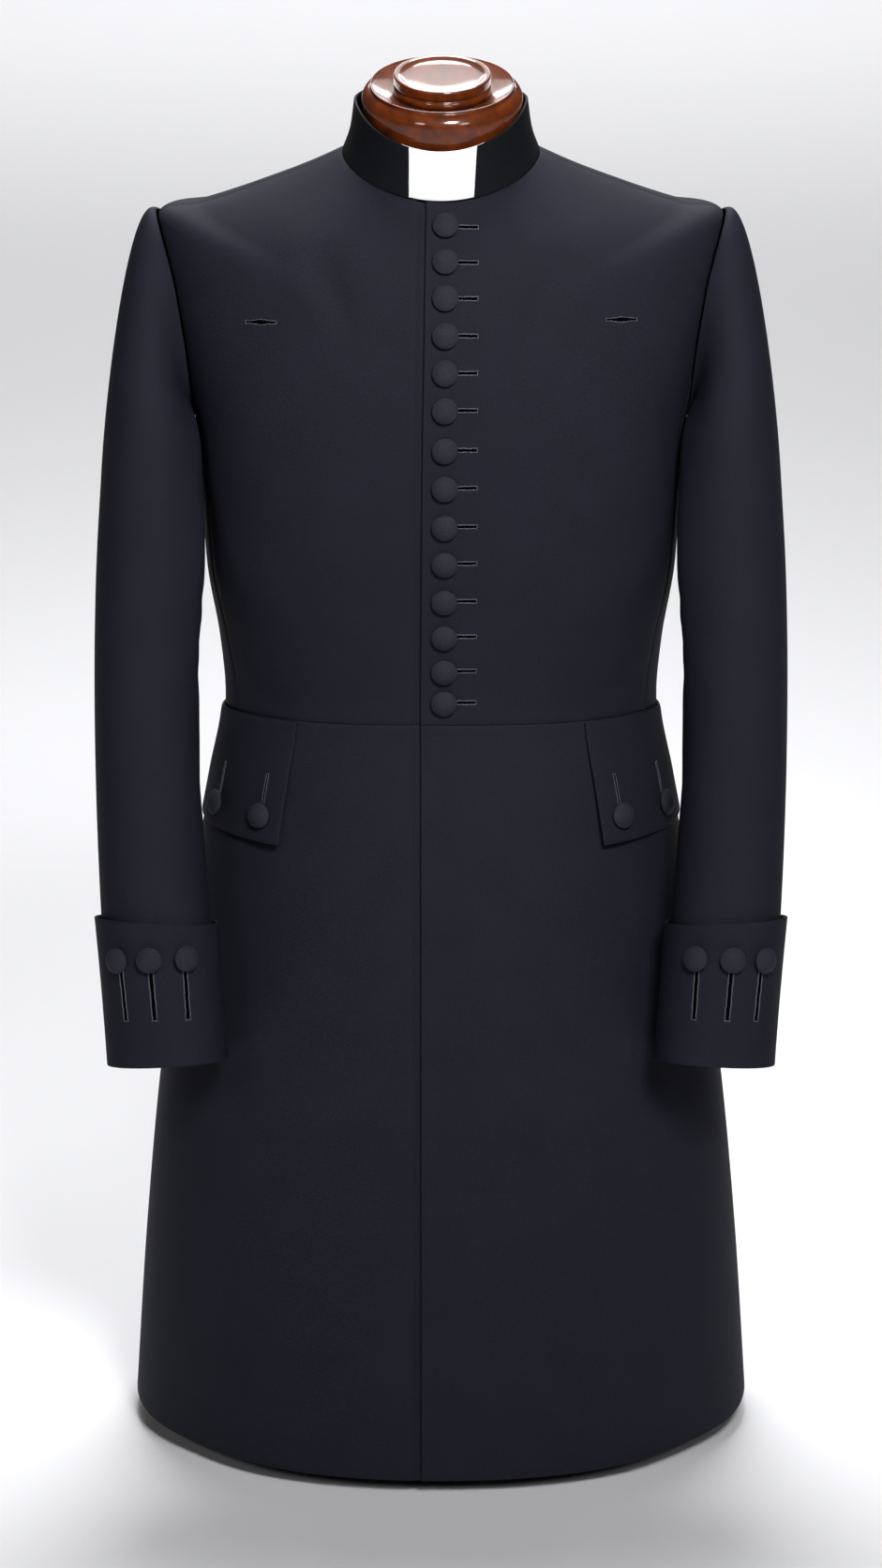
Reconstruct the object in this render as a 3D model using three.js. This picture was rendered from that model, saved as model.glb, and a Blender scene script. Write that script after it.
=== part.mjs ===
// A clerical frock coat worn on a limbless dress form, in millimetres.
// +Z is up, the coat's front faces -Y and the wearer's left is +X.
// The origin is the middle of the dress form's base, on the surface that it stands on.
//
// All the cloth of the body lies on one surface. It is lofted through level and sloping rings, and a
// place on it has two numbers: the azimuth in degrees (0 front, 90 wearer's left side, 180 back, and
// negative on the wearer's right) and the ring number, counted down from the neck seam.
import * as THREE from "three";

// Cloth and seams
const CLOTH = 2; // wool with its canvas and turnings
const SEAM = 0.4; // space between two pieces at a seam
const LIE = 0.6; // space under a piece that lies on another
const SIDES = { left: 1, right: -1 };

// A table as a list of rows, each with its values under the names of the columns.
function table(columns, ...rows) {
  return rows.map((row) => Object.fromEntries(row.map((value, i) => [columns[i], value])));
}

// Rings of the body, from the neck seam down to the hem: heights and depths at the centre front, at the
// sides and at the centre back, half the width, how square the ring is (2 is an ellipse), and how soon
// it leaves the side's height on its way to the front and to the back.
const BODY_RINGS = table(
  ["name", "frontZ", "sideZ", "backZ", "frontY", "sideY", "backY", "half", "power", "frontRun", "backRun"],
  ["neck seam", 1040, 1069, 1082, -73, 0, 62, 79, 2.1, 1.3, 2],
  ["neck slope", 1014, 1054, 1050, -91, 3, 80, 114, 2.1, 1.5, 1.8],
  ["mid shoulder", 984, 1040.5, 1020, -106, 5, 95, 152, 2.15, 1.7, 1.5],
  ["outer shoulder", 952, 1028.5, 990, -117, 6, 106, 192, 2, 1.8, 1.5],
  ["shoulder point", 921, 1019.5, 962, -124, 6, 113, 227, 1.92, 1.7, 1.5],
  ["upper armhole", 895, 968, 928, -128, 5, 116, 221, 2.2, 1.6, 1.5],
  ["lower armhole", 870, 909, 889, -130, 3, 116, 209, 2.38, 1.6, 1.6],
  ["underarm", 843, 853, 848, -131, 1, 113, 197.5, 2.5, 1.5, 1.5],
  ["chest", 793, 793, 792, -130, 1, 107, 193, 2.5, 1.5, 1.5],
  ["midriff", 737, 730, 730, -125, 2, 99, 189.5, 2.45, 1, 1],
  ["above the waist", 681, 669, 668, -119, 3, 92, 180, 2.3, 0.7, 1],
  ["waist seam", 626, 611, 613, -117, 4, 91, 176.5, 2.15, 0.6, 1],
  ["upper hip", 567, 556, 557, -128, 4, 104, 187, 2.25, 0.7, 1],
  ["hip", 495, 489, 489, -142, 4, 122, 200, 2.3, 1, 1],
  ["seat", 406, 403, 403, -156, 4, 138, 216, 2.35, 1, 1],
  ["thigh", 297, 297, 297, -173, 3, 156, 233, 2.4, 1, 1],
  ["knee", 163, 165, 163, -190, 2, 176, 246.5, 2.3, 1, 1],
  ["hem", 13.5, 23.5, 16, -208, 0, 195, 257, 2.2, 0.35, 1],
);
const ring = (name) => BODY_RINGS.findIndex((row) => row.name === name);
const NECK = ring("neck seam");
const SHOULDER = ring("shoulder point");
const UNDERARM = ring("underarm");
const WAIST = ring("waist seam");
const HEM = ring("hem");

// Soft flutes of the skirt: azimuths at the waist and at the hem, half width in degrees, depth at the hem.
const FLUTES = [
  { waist: 44, hem: 57, spread: 12, depth: 5 },
  { waist: 112, hem: 112, spread: 15, depth: 6 },
  { waist: 148, hem: 150, spread: 14, depth: 9 },
];

// Armhole: an oval on the body surface, from the shoulder point to the underarm.
const ARMHOLE_POINTS = 24;
const ARMHOLE_FRONT = 13.5; // degrees of azimuth that the oval reaches forward of the side
const ARMHOLE_BACK = 17;
const SIDE_SEAM_POINT = 8; // armhole points from the shoulder seam to each seam of the side body
const SIDE_SEAM_WAIST = { front: 74, back: 142 }; // azimuths of the side body's seams at the waist

// Front overlap: the left front lies over the right one. x of the edges at the neck, waist and hem.
const LAP_EDGE = { neck: -11.5, waist: -16.2, hem: -16 };
const UNDERLAP_EDGE = 22;
const LAP_STEP = 13; // width over which the under front sinks behind the upper one
const LAP_MARGIN = 3; // from there to the upper front's edge

// Sleeve sections below the armhole: centre, half width, half depth, and how far the section leans
// forward and inward, in degrees.
const SLEEVE_SECTIONS = table(
  ["name", "x", "y", "z", "half", "depth", "lean", "cant"],
  ["upper arm", 232.6, -46, 820, 39.3, 61, 12, -4],
  ["above the elbow", 233.6, -61, 745, 42.6, 60, 13, -2],
  ["elbow", 236, -79, 665, 42, 58, 14, 0],
  ["forearm", 235.2, -98, 575, 42.2, 56, 14, 2],
  ["above the cuff", 230, -122, 480, 44, 54, 14, 4],
  ["wrist", 219.8, -154, 356, 46, 51, 13, -3],
);
const SLEEVE_POWER = 2.25;
const SLEEVE_CAP_ROWS = 5; // rows of the sleeve between the armhole and the upper arm
const SLEEVE_ROWS_PER_SECTION = 1;
// How the cloth leaves the armhole seam, at the top, front, underarm and back of the loop.
const SLEEVE_HEAD = table(
  ["name", "x", "y", "z", "reach"],
  ["top", 1, 0, 1, 82],
  ["front", 0.8, -0.6, 0.05, 42],
  ["underarm", 1, -0.1, -0.1, 32],
  ["back", 0.75, 0.65, 0.05, 42],
);
const SLEEVE_CAP_DROP = 250; // pull of the upper arm's direction on the sleeve head

// Cuffs: deep turn-backs round the end of each sleeve
const CUFF_HEIGHT = 109;
const CUFF_CLOTH = 2.4;
const CUFF_STAND = 2.6; // how much further the cuff's upper lip stands out
const CUFF_ROWS = 5;
const SLEEVE_INSIDE_CUFF = 3; // the sleeve's end is this far up inside the cuff

// Collar: a plain stand with a gap in front, which the tab fills from behind
const COLLAR_CLOTH = 2;
const COLLAR_RINGS = table(
  ["name", "frontZ", "sideZ", "backZ", "frontY", "sideY", "backY", "half", "power", "frontRun", "backRun"],
  ["seam", 1040.6, 1069.9, 1082.8, -73, 0, 62, 79, 2.1, 1.3, 2],
  ["middle", 1060, 1087, 1102, -76.5, 0, 58.5, 72.5, 2.1, 1.6, 2],
  ["top", 1081, 1111, 1121, -79.5, 0, 56.5, 69, 2.2, 2, 2],
);
const COLLAR_GAP = { right: -25.8, left: 26.6 }; // x of the collar's two front ends at the seam
const COLLAR_SPLAY = 2.5; // how much further the left end leans away at the top
const TAB_REACH = 7; // how far the tab runs on behind each end
const TAB_THICKNESS = 0.8;
const TAB_SPACE = 0.8; // between the collar and the tab behind it

// Pocket flaps, hanging from the waist seam
const FLAP_CLOTH = 2.2;
const FLAP_FRONT = { top: 50.2, bottom: 48.6 }; // azimuths of the front edge
const FLAP_BACK = { top: 103, bottom: 105 };
const FLAP_BOTTOM_Z = 523.5;
const FLAP_SPACE = 1; // between the skirt and the flap

// Cloth-covered buttons
const BUTTON = { radius: 10.4, height: 6, edge: 2.2, shank: 1.2 };
const FRONT_BUTTON_X = { top: 3.6, bottom: 2.4 };
const FRONT_BUTTON_HEIGHTS = [
  1023, 997.5, 971, 943, 914.5, 885.5, 854, 823.5, 792, 761.5, 730, 700, 671, 644.5,
];
const FLAP_BUTTONS = [
  { azimuth: 55.2, z: 544.5 },
  { azimuth: 72.3, z: 543 },
];
// Degrees round the cuff from its outer side towards the front, and the drop from the cuff's upper edge
const CUFF_BUTTONS = [
  { angle: 59.5, drop: 30 },
  { angle: 85, drop: 28.5 },
  { angle: 113, drop: 27 },
];

// Dress form: torso, turned neck cap with its disc, pole and base
const FORM_CLEARANCE = 8; // from the outside of the coat to the torso
const FORM_NARROWING = 0.96; // share of the width that is left, so that the shoulders stay clear
const FORM_BOTTOM_Z = 505;
const NECK_TOP = { x: 1, y: -17, z: 1125 }; // middle of the cap's upper rim
const NECK_LEAN = 13.9; // degrees forward
const POLE_RADIUS = 14;
const BASE = { radius: 150, thickness: 10, edge: 3 };

const COLOURS = {
  wool: 0x1d1e26,
  collarWool: 0x14161b,
  buttonWool: 0x2b2c34,
  white: 0xfafafc,
  canvas: 0x202024,
  mahogany: 0x5a2710,
  steel: 0x6a6c70,
};

const radians = THREE.MathUtils.degToRad;
const degrees = THREE.MathUtils.radToDeg;
const lerp = THREE.MathUtils.lerp;
const smoothstep = THREE.MathUtils.smoothstep;

// ---------------------------------------------------------------- surfaces

// One column of a table at a row number that may lie between rows, on a smooth curve through them.
function column(rows, t, name) {
  const last = rows.length - 1;
  const i = Math.min(Math.max(Math.floor(t), 0), last - 1);
  const f = t - i;
  const b = rows[i][name];
  const c = rows[i + 1][name];
  const a = i > 0 ? rows[i - 1][name] : 2 * b - c;
  const d = i + 1 < last ? rows[i + 2][name] : 2 * c - b;
  const slope = (c - a) / 2;
  const nextSlope = (d - b) / 2;
  return (
    b * (1 - 3 * f * f + 2 * f * f * f) +
    c * (3 * f * f - 2 * f * f * f) +
    slope * (f - 2 * f * f + f * f * f) +
    nextSlope * (f * f * f - f * f)
  );
}

// A point on the surface through a table of rings.
function ringPoint(rows, azimuth, t, swell = 0) {
  const angle = radians(azimuth);
  const forward = Math.cos(angle);
  const end = forward > 0 ? "front" : "back";
  const sideY = column(rows, t, "sideY");
  const depth = Math.abs(column(rows, t, end + "Y") - sideY);
  const half = column(rows, t, "half");
  const power = column(rows, t, "power");
  const across = Math.abs(Math.sin(angle) / half) ** power;
  const along = Math.abs(forward / depth) ** power;
  const radius = (across + along) ** (-1 / power) + swell;
  const sideZ = column(rows, t, "sideZ");
  const endZ = column(rows, t, end + "Z");
  const run = Math.abs(forward) ** column(rows, t, end + "Run");
  return new THREE.Vector3(
    radius * Math.sin(angle),
    sideY - radius * forward,
    sideZ + (endZ - sideZ) * run,
  );
}

// How far the skirt's flutes sink the surface at a place.
function fluteDepth(azimuth, t) {
  const fall = THREE.MathUtils.clamp((t - WAIST) / (HEM - WAIST), 0, 1);
  const growth = fall ** 1.3;
  return FLUTES.reduce((sum, flute) => {
    const middle = lerp(flute.waist, flute.hem, fall);
    const away = (Math.abs(azimuth) - middle) / flute.spread;
    return sum + flute.depth * growth * Math.exp(-away * away);
  }, 0);
}

const bodyPoint = (azimuth, t) => ringPoint(BODY_RINGS, azimuth, t, -fluteDepth(azimuth, t));
const collarPoint = (azimuth, t) => ringPoint(COLLAR_RINGS, azimuth, t);

// The unit vector that points out of a surface, whose first number turns it round and whose second
// number goes down it.
function normalOf(surface, a, t, outward = 1) {
  const step = 0.01;
  const round = surface(a + step, t).sub(surface(a - step, t));
  const down = surface(a, t + step).sub(surface(a, t - step));
  return round.cross(down).normalize().multiplyScalar(outward);
}

const bodyNormal = (azimuth, t) => normalOf(bodyPoint, azimuth, t, -1);
const collarNormal = (azimuth, t) => normalOf(collarPoint, azimuth, t, 1);

function moved(point, direction, distance) {
  return point.clone().addScaledVector(direction, distance);
}

// Degrees of azimuth that make half a seam's gap at a place on a surface.
function halfSeam(surface, azimuth, t) {
  return SEAM / 2 / surface(azimuth + 0.5, t).distanceTo(surface(azimuth - 0.5, t));
}

// The ring number at which a surface passes a height, at one azimuth.
function ringAtHeight(azimuth, z, from = NECK, to = HEM) {
  let high = from;
  let low = to;
  for (let i = 0; i < 40; i += 1) {
    const middle = (high + low) / 2;
    if (bodyPoint(azimuth, middle).z > z) high = middle;
    else low = middle;
  }
  return (high + low) / 2;
}

// The azimuth at which the front of a surface passes a distance from the middle, at one ring.
function azimuthAtX(surface, x, t) {
  let right = -80;
  let left = 80;
  for (let i = 0; i < 40; i += 1) {
    const middle = (right + left) / 2;
    if (surface(middle, t).x < x) right = middle;
    else left = middle;
  }
  return (right + left) / 2;
}

// ---------------------------------------------------------------- solids

const group = new THREE.Group();

function add(name, geometry, colour, roughness = 0.85, metalness = 0) {
  const material = new THREE.MeshStandardMaterial({ color: colour, roughness, metalness });
  const mesh = new THREE.Mesh(geometry, material);
  mesh.name = name;
  group.add(mesh);
  return mesh;
}

// A closed solid from its corners and its four-cornered faces, turned so that its faces point out.
function solid(points, quads) {
  const triangles = quads.flatMap(([a, b, c, d]) => (a === d ? [[a, b, c]] : [[a, b, c], [a, c, d]]));
  const volume = triangles.reduce(
    (sum, [a, b, c]) => sum + points[a].dot(points[b].clone().cross(points[c])),
    0,
  );
  const index = triangles.flatMap(([a, b, c]) => (volume > 0 ? [a, b, c] : [a, c, b]));
  const geometry = new THREE.BufferGeometry().setFromPoints(points);
  geometry.setIndex(index);
  geometry.computeVertexNormals();
  return geometry;
}

// A wall of cloth: a grid of outer points with a grid of inner points behind it, closed at its rims.
// With wrap, the grid's columns run right round a tube.
function wall(rows, columns, outerAt, innerAt, wrap = false) {
  const points = [];
  for (const at of [outerAt, innerAt])
    for (let i = 0; i < rows; i += 1)
      for (let j = 0; j < columns; j += 1) points.push(at(i, j));
  const behind = rows * columns;
  const spans = wrap ? columns : columns - 1;
  const id = (i, j) => i * columns + (j % columns);
  const quads = [];
  for (let j = 0; j < spans; j += 1) {
    for (let i = 0; i < rows - 1; i += 1) {
      const face = [id(i, j), id(i + 1, j), id(i + 1, j + 1), id(i, j + 1)];
      quads.push(face);
      quads.push(face.map((k) => k + behind).reverse());
    }
    quads.push([id(0, j), id(0, j + 1), id(0, j + 1) + behind, id(0, j) + behind]);
    const end = rows - 1;
    quads.push([id(end, j + 1), id(end, j), id(end, j) + behind, id(end, j + 1) + behind]);
  }
  if (!wrap)
    for (let i = 0; i < rows - 1; i += 1) {
      const last = columns - 1;
      quads.push([id(i + 1, 0), id(i, 0), id(i, 0) + behind, id(i + 1, 0) + behind]);
      quads.push([id(i, last), id(i + 1, last), id(i + 1, last) + behind, id(i, last) + behind]);
    }
  return solid(points, quads);
}

// A panel of the body's cloth. Each row has a ring number and the azimuths of its columns.
function bodyPanel(rows, sink = () => 0) {
  const at = (depth) => (i, j) => {
    const t = rows[i].ring;
    const azimuth = rows[i].azimuths[j];
    const point = bodyPoint(azimuth, t);
    return moved(point, bodyNormal(azimuth, t), -depth - sink(point, t));
  };
  return wall(rows.length, rows[0].azimuths.length, at(0), at(CLOTH));
}

// ---------------------------------------------------------------- bodice

const ARMHOLE_STEP = 360 / ARMHOLE_POINTS;
const SIDE_SEAM_ANGLE = SIDE_SEAM_POINT * ARMHOLE_STEP;
const ARMHOLE_MIDDLE = (SHOULDER + UNDERARM) / 2;
const ARMHOLE_HALF = (UNDERARM - SHOULDER) / 2;

// A point of the armhole by its angle round the loop: 0 shoulder, 90 front, 180 underarm, 270 back.
function armholePlace(angle) {
  const turn = radians(angle);
  const reach = Math.sin(turn) > 0 ? ARMHOLE_FRONT : ARMHOLE_BACK;
  return {
    azimuth: 90 - reach * Math.sin(turn),
    t: ARMHOLE_MIDDLE - ARMHOLE_HALF * Math.cos(turn),
  };
}

const seamGapInRings = (azimuth, t) =>
  SEAM / 2 / bodyPoint(azimuth, t).distanceTo(bodyPoint(azimuth, t + 1));

function evenly(from, to, spans) {
  return Array.from({ length: spans + 1 }, (_, i) => lerp(from, to, i / spans));
}

// The x of the upper front's edge at a ring.
function lapX(t) {
  return t < WAIST
    ? lerp(LAP_EDGE.neck, LAP_EDGE.waist, t / WAIST)
    : lerp(LAP_EDGE.waist, LAP_EDGE.hem, (t - WAIST) / (HEM - WAIST));
}

// How far the under front sinks behind the upper one, on the front half of the body.
function underlapSink(point, t) {
  const start = lapX(t) - LAP_MARGIN - LAP_STEP;
  return point.y < 0 ? (CLOTH + LIE) * smoothstep(point.x, start, start + LAP_STEP) : 0;
}

// The azimuths of a row of a panel that starts at the centre front. The left panel's edge shows. The
// right one runs on under it, with columns where it starts and ends its step down.
function frontColumns(side, t, end, spans) {
  const at = (x) => azimuthAtX(bodyPoint, x, t);
  if (side > 0) return evenly(at(lapX(t)), end, spans);
  const step = at(lapX(t) - LAP_STEP - LAP_MARGIN);
  return [at(UNDERLAP_EDGE), at(lapX(t) - LAP_MARGIN), ...evenly(step, -end, spans)];
}

const waistEnd = WAIST - seamGapInRings(45, WAIST);
const shoulderRows = evenly(NECK, SHOULDER, 7);
const armholeRows = Array.from({ length: SIDE_SEAM_POINT }, (_, k) => (k + 1) * ARMHOLE_STEP);

// The rows of the side body's seams, from the armhole down.
const SEAM_SPANS = 7;
const seamRows = evenly(armholePlace(SIDE_SEAM_ANGLE).t, waistEnd, SEAM_SPANS);

// The side body's seam in front or at the back, as an azimuth at a ring below the armhole.
function sideSeam(which, t) {
  const start = armholePlace(which === "front" ? SIDE_SEAM_ANGLE : -SIDE_SEAM_ANGLE);
  const fall = (t - start.t) / (WAIST - start.t);
  const curve = which === "front" ? fall : fall ** 0.8;
  return lerp(start.azimuth, SIDE_SEAM_WAIST[which], Math.max(curve, 0));
}

// The outer edge of a front or a back at its rows: down the shoulder seam, round its half of the
// armhole, then down the seam of the side body.
function bodiceEdge(which) {
  const toward = which === "front" ? -1 : 1;
  const loop = armholeRows.map((angle) => armholePlace(toward < 0 ? angle : -angle));
  const places = [
    ...shoulderRows.map((t) => ({ azimuth: 90, t })),
    ...loop,
    ...seamRows.slice(1).map((t) => ({ azimuth: sideSeam(which, t), t })),
  ];
  return places.map(({ azimuth, t }) => ({
    azimuth: azimuth + toward * halfSeam(bodyPoint, azimuth, t),
    t,
  }));
}

function buildFront(name, side) {
  const rows = bodiceEdge("front").map(({ azimuth, t }) => ({
    ring: t,
    azimuths: frontColumns(side, t, azimuth, 7),
  }));
  add("front_" + name, bodyPanel(rows, side > 0 ? undefined : underlapSink), COLOURS.wool);
}

// The azimuths of a row of a panel that ends at the centre back.
function backColumns(side, t, start, spans) {
  const seam = 180 - halfSeam(bodyPoint, 180, t);
  return evenly(start, seam, spans).map((azimuth) => side * azimuth);
}

function buildBack(name, side) {
  const rows = bodiceEdge("back").map(({ azimuth, t }) => ({
    ring: t,
    azimuths: backColumns(side, t, azimuth, 6),
  }));
  add("back_" + name, bodyPanel(rows), COLOURS.wool);
}

// The side body: its top is the bottom of the armhole, its sides are the two long seams.
function buildSideBody(name, side) {
  const angles = evenly(SIDE_SEAM_ANGLE, 360 - SIDE_SEAM_ANGLE, ARMHOLE_POINTS - 2 * SIDE_SEAM_POINT);
  const last = angles.length - 1;
  const at = (depth) => (i, j) => {
    const top = armholePlace(angles[j]);
    const down = i / SEAM_SPANS;
    const t = lerp(top.t, waistEnd, down);
    const seamAt = (which) => sideSeam(which, t);
    const front = seamAt("front") + halfSeam(bodyPoint, seamAt("front"), t);
    const back = seamAt("back") - halfSeam(bodyPoint, seamAt("back"), t);
    const settled = lerp(top.azimuth, lerp(front, back, j / last), smoothstep(down, 0, 0.8));
    const azimuth = side * (j === 0 ? front : j === last ? back : settled);
    const level = i === 0 ? t + 0.004 : t;
    return moved(bodyPoint(azimuth, level), bodyNormal(azimuth, level), -depth);
  };
  add("side_body_" + name, wall(SEAM_SPANS + 1, last + 1, at(0), at(CLOTH)), COLOURS.wool);
}

// ---------------------------------------------------------------- skirt

// The skirt's rows below its top edge. They lie closer together behind the flaps, which share them.
const SKIRT_RINGS = [11.3, 11.6, 11.95, 12.3, 12.7, 13.2, 14, 15, 16, HEM];
const FLAP_RINGS = SKIRT_RINGS.slice(0, 4);

function buildSkirt(name, side) {
  const top = WAIST + seamGapInRings(45, WAIST);
  const rows = [top, ...SKIRT_RINGS].map((t) => ({
    ring: t,
    azimuths: [...frontColumns(side, t, 90, 9), ...backColumns(side, t, 90, 10).slice(1)],
  }));
  add("skirt_" + name, bodyPanel(rows, side > 0 ? undefined : underlapSink), COLOURS.wool);
}

// ---------------------------------------------------------------- sleeves

// A point of a full sleeve section by its angle: 0 outer side, 90 front, 180 inner side, 270 back.
function sectionPoint(angle, s) {
  const get = (name) => column(SLEEVE_SECTIONS, s, name);
  const turn = radians(angle);
  const across = Math.abs(Math.cos(turn) / get("half")) ** SLEEVE_POWER;
  const along = Math.abs(Math.sin(turn) / get("depth")) ** SLEEVE_POWER;
  const radius = (across + along) ** (-1 / SLEEVE_POWER);
  const offset = new THREE.Vector3(radius * Math.cos(turn), -radius * Math.sin(turn), 0);
  offset.applyEuler(new THREE.Euler(radians(-get("lean")), radians(-get("cant")), 0));
  return offset.add(new THREE.Vector3(get("x"), get("y"), get("z")));
}

// One column of the sleeve head's table, on a smooth wave round the loop.
function headColumn(angle, name) {
  const place = (((angle % 360) + 360) % 360) / 90;
  const i = Math.floor(place);
  const f = (1 - Math.cos(Math.PI * (place - i))) / 2;
  return lerp(SLEEVE_HEAD[i][name], SLEEVE_HEAD[(i + 1) % 4][name], f);
}

// The left sleeve's surface: s runs from -1 at the armhole to 0 at the upper arm, and on to the wrist.
function sleevePoint(angle, s) {
  if (s >= 0) return sectionPoint(angle, s);
  const { azimuth, t } = armholePlace(angle);
  const edge = moved(bodyPoint(azimuth, t), bodyNormal(azimuth, t), 0.5);
  const middle = bodyPoint(90, ARMHOLE_MIDDLE);
  const into = middle.sub(edge);
  into.x = 0;
  const start = moved(edge, into.normalize(), 2 * SEAM);
  start.x += SEAM;
  const leave = new THREE.Vector3(
    headColumn(angle, "x"),
    headColumn(angle, "y"),
    headColumn(angle, "z"),
  ).setLength(headColumn(angle, "reach"));
  const meet = sectionPoint(angle, 0);
  const arrive = sectionPoint(angle, 0.05).sub(meet).setLength(SLEEVE_CAP_DROP);
  const reachShare = lerp(1, 0.55, (1 - Math.cos(radians(angle))) / 2);
  arrive.multiplyScalar(reachShare);
  const f = s + 1;
  return start
    .multiplyScalar(1 - 3 * f * f + 2 * f * f * f)
    .addScaledVector(leave, f - 2 * f * f + f * f * f)
    .addScaledVector(meet, 3 * f * f - 2 * f * f * f)
    .addScaledVector(arrive, f * f * f - f * f);
}

function sleeveNormal(angle, s) {
  const step = 0.004;
  const round = sleevePoint(angle + 0.5, s).sub(sleevePoint(angle - 0.5, s));
  const down = sleevePoint(angle, s + step).sub(sleevePoint(angle, Math.max(s - step, -1)));
  return round.cross(down).normalize();
}

function sideways(point, side) {
  point.x *= side;
  return point;
}

const LAST_SECTION = SLEEVE_SECTIONS.length - 1;
const wristSpan = SLEEVE_SECTIONS[LAST_SECTION - 1].z - SLEEVE_SECTIONS[LAST_SECTION].z;

function tube(side, stations, outerBy, innerBy) {
  const at = (by) => (i, j) => {
    const angle = j * ARMHOLE_STEP;
    const s = stations[i];
    return sideways(moved(sleevePoint(angle, s), sleeveNormal(angle, s), by(i)), side);
  };
  return wall(stations.length, ARMHOLE_POINTS, at(outerBy), at(innerBy), true);
}

function buildSleeve(name, side) {
  const stations = [
    ...evenly(-1, 0, SLEEVE_CAP_ROWS),
    ...evenly(0, LAST_SECTION - 1, SLEEVE_ROWS_PER_SECTION * (LAST_SECTION - 1)).slice(1),
    LAST_SECTION - SLEEVE_INSIDE_CUFF / wristSpan,
  ];
  add("sleeve_" + name, tube(side, stations, () => 0, () => -CLOTH), COLOURS.wool);
}

const cuffTop = LAST_SECTION - CUFF_HEIGHT / wristSpan;

function buildCuff(name, side) {
  const stations = evenly(cuffTop, LAST_SECTION, CUFF_ROWS - 1);
  const stand = (i) => LIE + CUFF_STAND * (1 - i / (CUFF_ROWS - 1)) ** 2;
  const outer = (i) => stand(i) + CUFF_CLOTH;
  add("cuff_" + name, tube(side, stations, outer, stand), COLOURS.wool);
}

// ---------------------------------------------------------------- collar and tab

function buildCollar() {
  const spans = 30;
  const levels = [0, 0.7, 1.4, 2];
  const at = (depth) => (i, j) => {
    const t = levels[i];
    const left = azimuthAtX(collarPoint, COLLAR_GAP.left + (COLLAR_SPLAY * t) / 2, t);
    const right = azimuthAtX(collarPoint, COLLAR_GAP.right, t);
    const azimuth = lerp(left, 360 + right, j / spans);
    return moved(collarPoint(azimuth, t), collarNormal(azimuth, t), -depth);
  };
  add("collar", wall(levels.length, spans + 1, at(0), at(COLLAR_CLOTH)), COLOURS.collarWool);
}

function buildTab() {
  const spans = 8;
  const levels = [0.1, 1, 1.98];
  const behind = COLLAR_CLOTH + TAB_SPACE;
  const at = (depth) => (i, j) => {
    const t = levels[i];
    const left = azimuthAtX(collarPoint, COLLAR_GAP.left + COLLAR_SPLAY + TAB_REACH, t);
    const right = azimuthAtX(collarPoint, COLLAR_GAP.right - TAB_REACH, t);
    const azimuth = lerp(right, left, j / spans);
    return moved(collarPoint(azimuth, t), collarNormal(azimuth, t), -behind - depth);
  };
  add("collar_tab", wall(levels.length, spans + 1, at(0), at(TAB_THICKNESS)), COLOURS.white, 0.5);
}

// ---------------------------------------------------------------- pocket flaps

function buildFlap(name, side) {
  const columns = 10;
  const rows = [WAIST + 0.03, ...FLAP_RINGS, null];
  const at = (height) => (i, j) => {
    const along = j / (columns - 1);
    const top = side * lerp(FLAP_FRONT.top, FLAP_BACK.top, along);
    const bottom = side * lerp(FLAP_FRONT.bottom, FLAP_BACK.bottom, along);
    const lowest = ringAtHeight(bottom, FLAP_BOTTOM_Z);
    const t = rows[i] ?? lowest;
    const azimuth = lerp(top, bottom, (t - WAIST) / (lowest - WAIST));
    return moved(bodyPoint(azimuth, t), bodyNormal(azimuth, t), FLAP_SPACE + height);
  };
  add("pocket_flap_" + name, wall(rows.length, columns, at(FLAP_CLOTH), at(0)), COLOURS.wool);
}

// ---------------------------------------------------------------- buttons

// A covered button has a flat face behind, a rounded edge and a low dome. It stands off on its shank.
function buttonGeometry() {
  const { radius, height, edge } = BUTTON;
  const profile = [new THREE.Vector2(0, 0), new THREE.Vector2(radius - 1.2, 0)];
  profile.push(new THREE.Vector2(radius, 1.2), new THREE.Vector2(radius - 0.2, edge));
  for (const share of [0.78, 0.42])
    profile.push(new THREE.Vector2(radius * share, lerp(height, edge, share * share)));
  profile.push(new THREE.Vector2(0, height));
  return new THREE.LatheGeometry(profile, 12).rotateX(Math.PI / 2);
}

function placeButton(name, point, normal) {
  const mesh = add(name, buttonGeometry(), COLOURS.buttonWool, 0.9);
  mesh.position.copy(moved(point, normal, BUTTON.shank));
  mesh.quaternion.setFromUnitVectors(new THREE.Vector3(0, 0, 1), normal);
}

function buildFrontButtons() {
  const count = FRONT_BUTTON_HEIGHTS.length;
  FRONT_BUTTON_HEIGHTS.forEach((z, i) => {
    const x = lerp(FRONT_BUTTON_X.top, FRONT_BUTTON_X.bottom, i / (count - 1));
    const t = ringAtHeight(0, z);
    const azimuth = azimuthAtX(bodyPoint, x, t);
    const name = "front_button_" + String(i + 1).padStart(2, "0");
    placeButton(name, bodyPoint(azimuth, t), bodyNormal(azimuth, t));
  });
}

function buildFlapButtons(name, side) {
  FLAP_BUTTONS.forEach(({ azimuth, z }, i) => {
    const t = ringAtHeight(side * azimuth, z);
    const normal = bodyNormal(side * azimuth, t);
    const point = moved(bodyPoint(side * azimuth, t), normal, FLAP_SPACE + FLAP_CLOTH);
    placeButton("flap_button_" + name + "_" + (i + 1), point, normal);
  });
}

function buildCuffButtons(name, side) {
  CUFF_BUTTONS.forEach(({ angle, drop }, i) => {
    const s = cuffTop + drop / wristSpan;
    const normal = sleeveNormal(angle, s);
    const point = moved(sleevePoint(angle, s), normal, LIE + CUFF_STAND + CUFF_CLOTH);
    placeButton("cuff_button_" + name + "_" + (i + 1), sideways(point, side), sideways(normal, side));
  });
}

// ---------------------------------------------------------------- dress form

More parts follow.
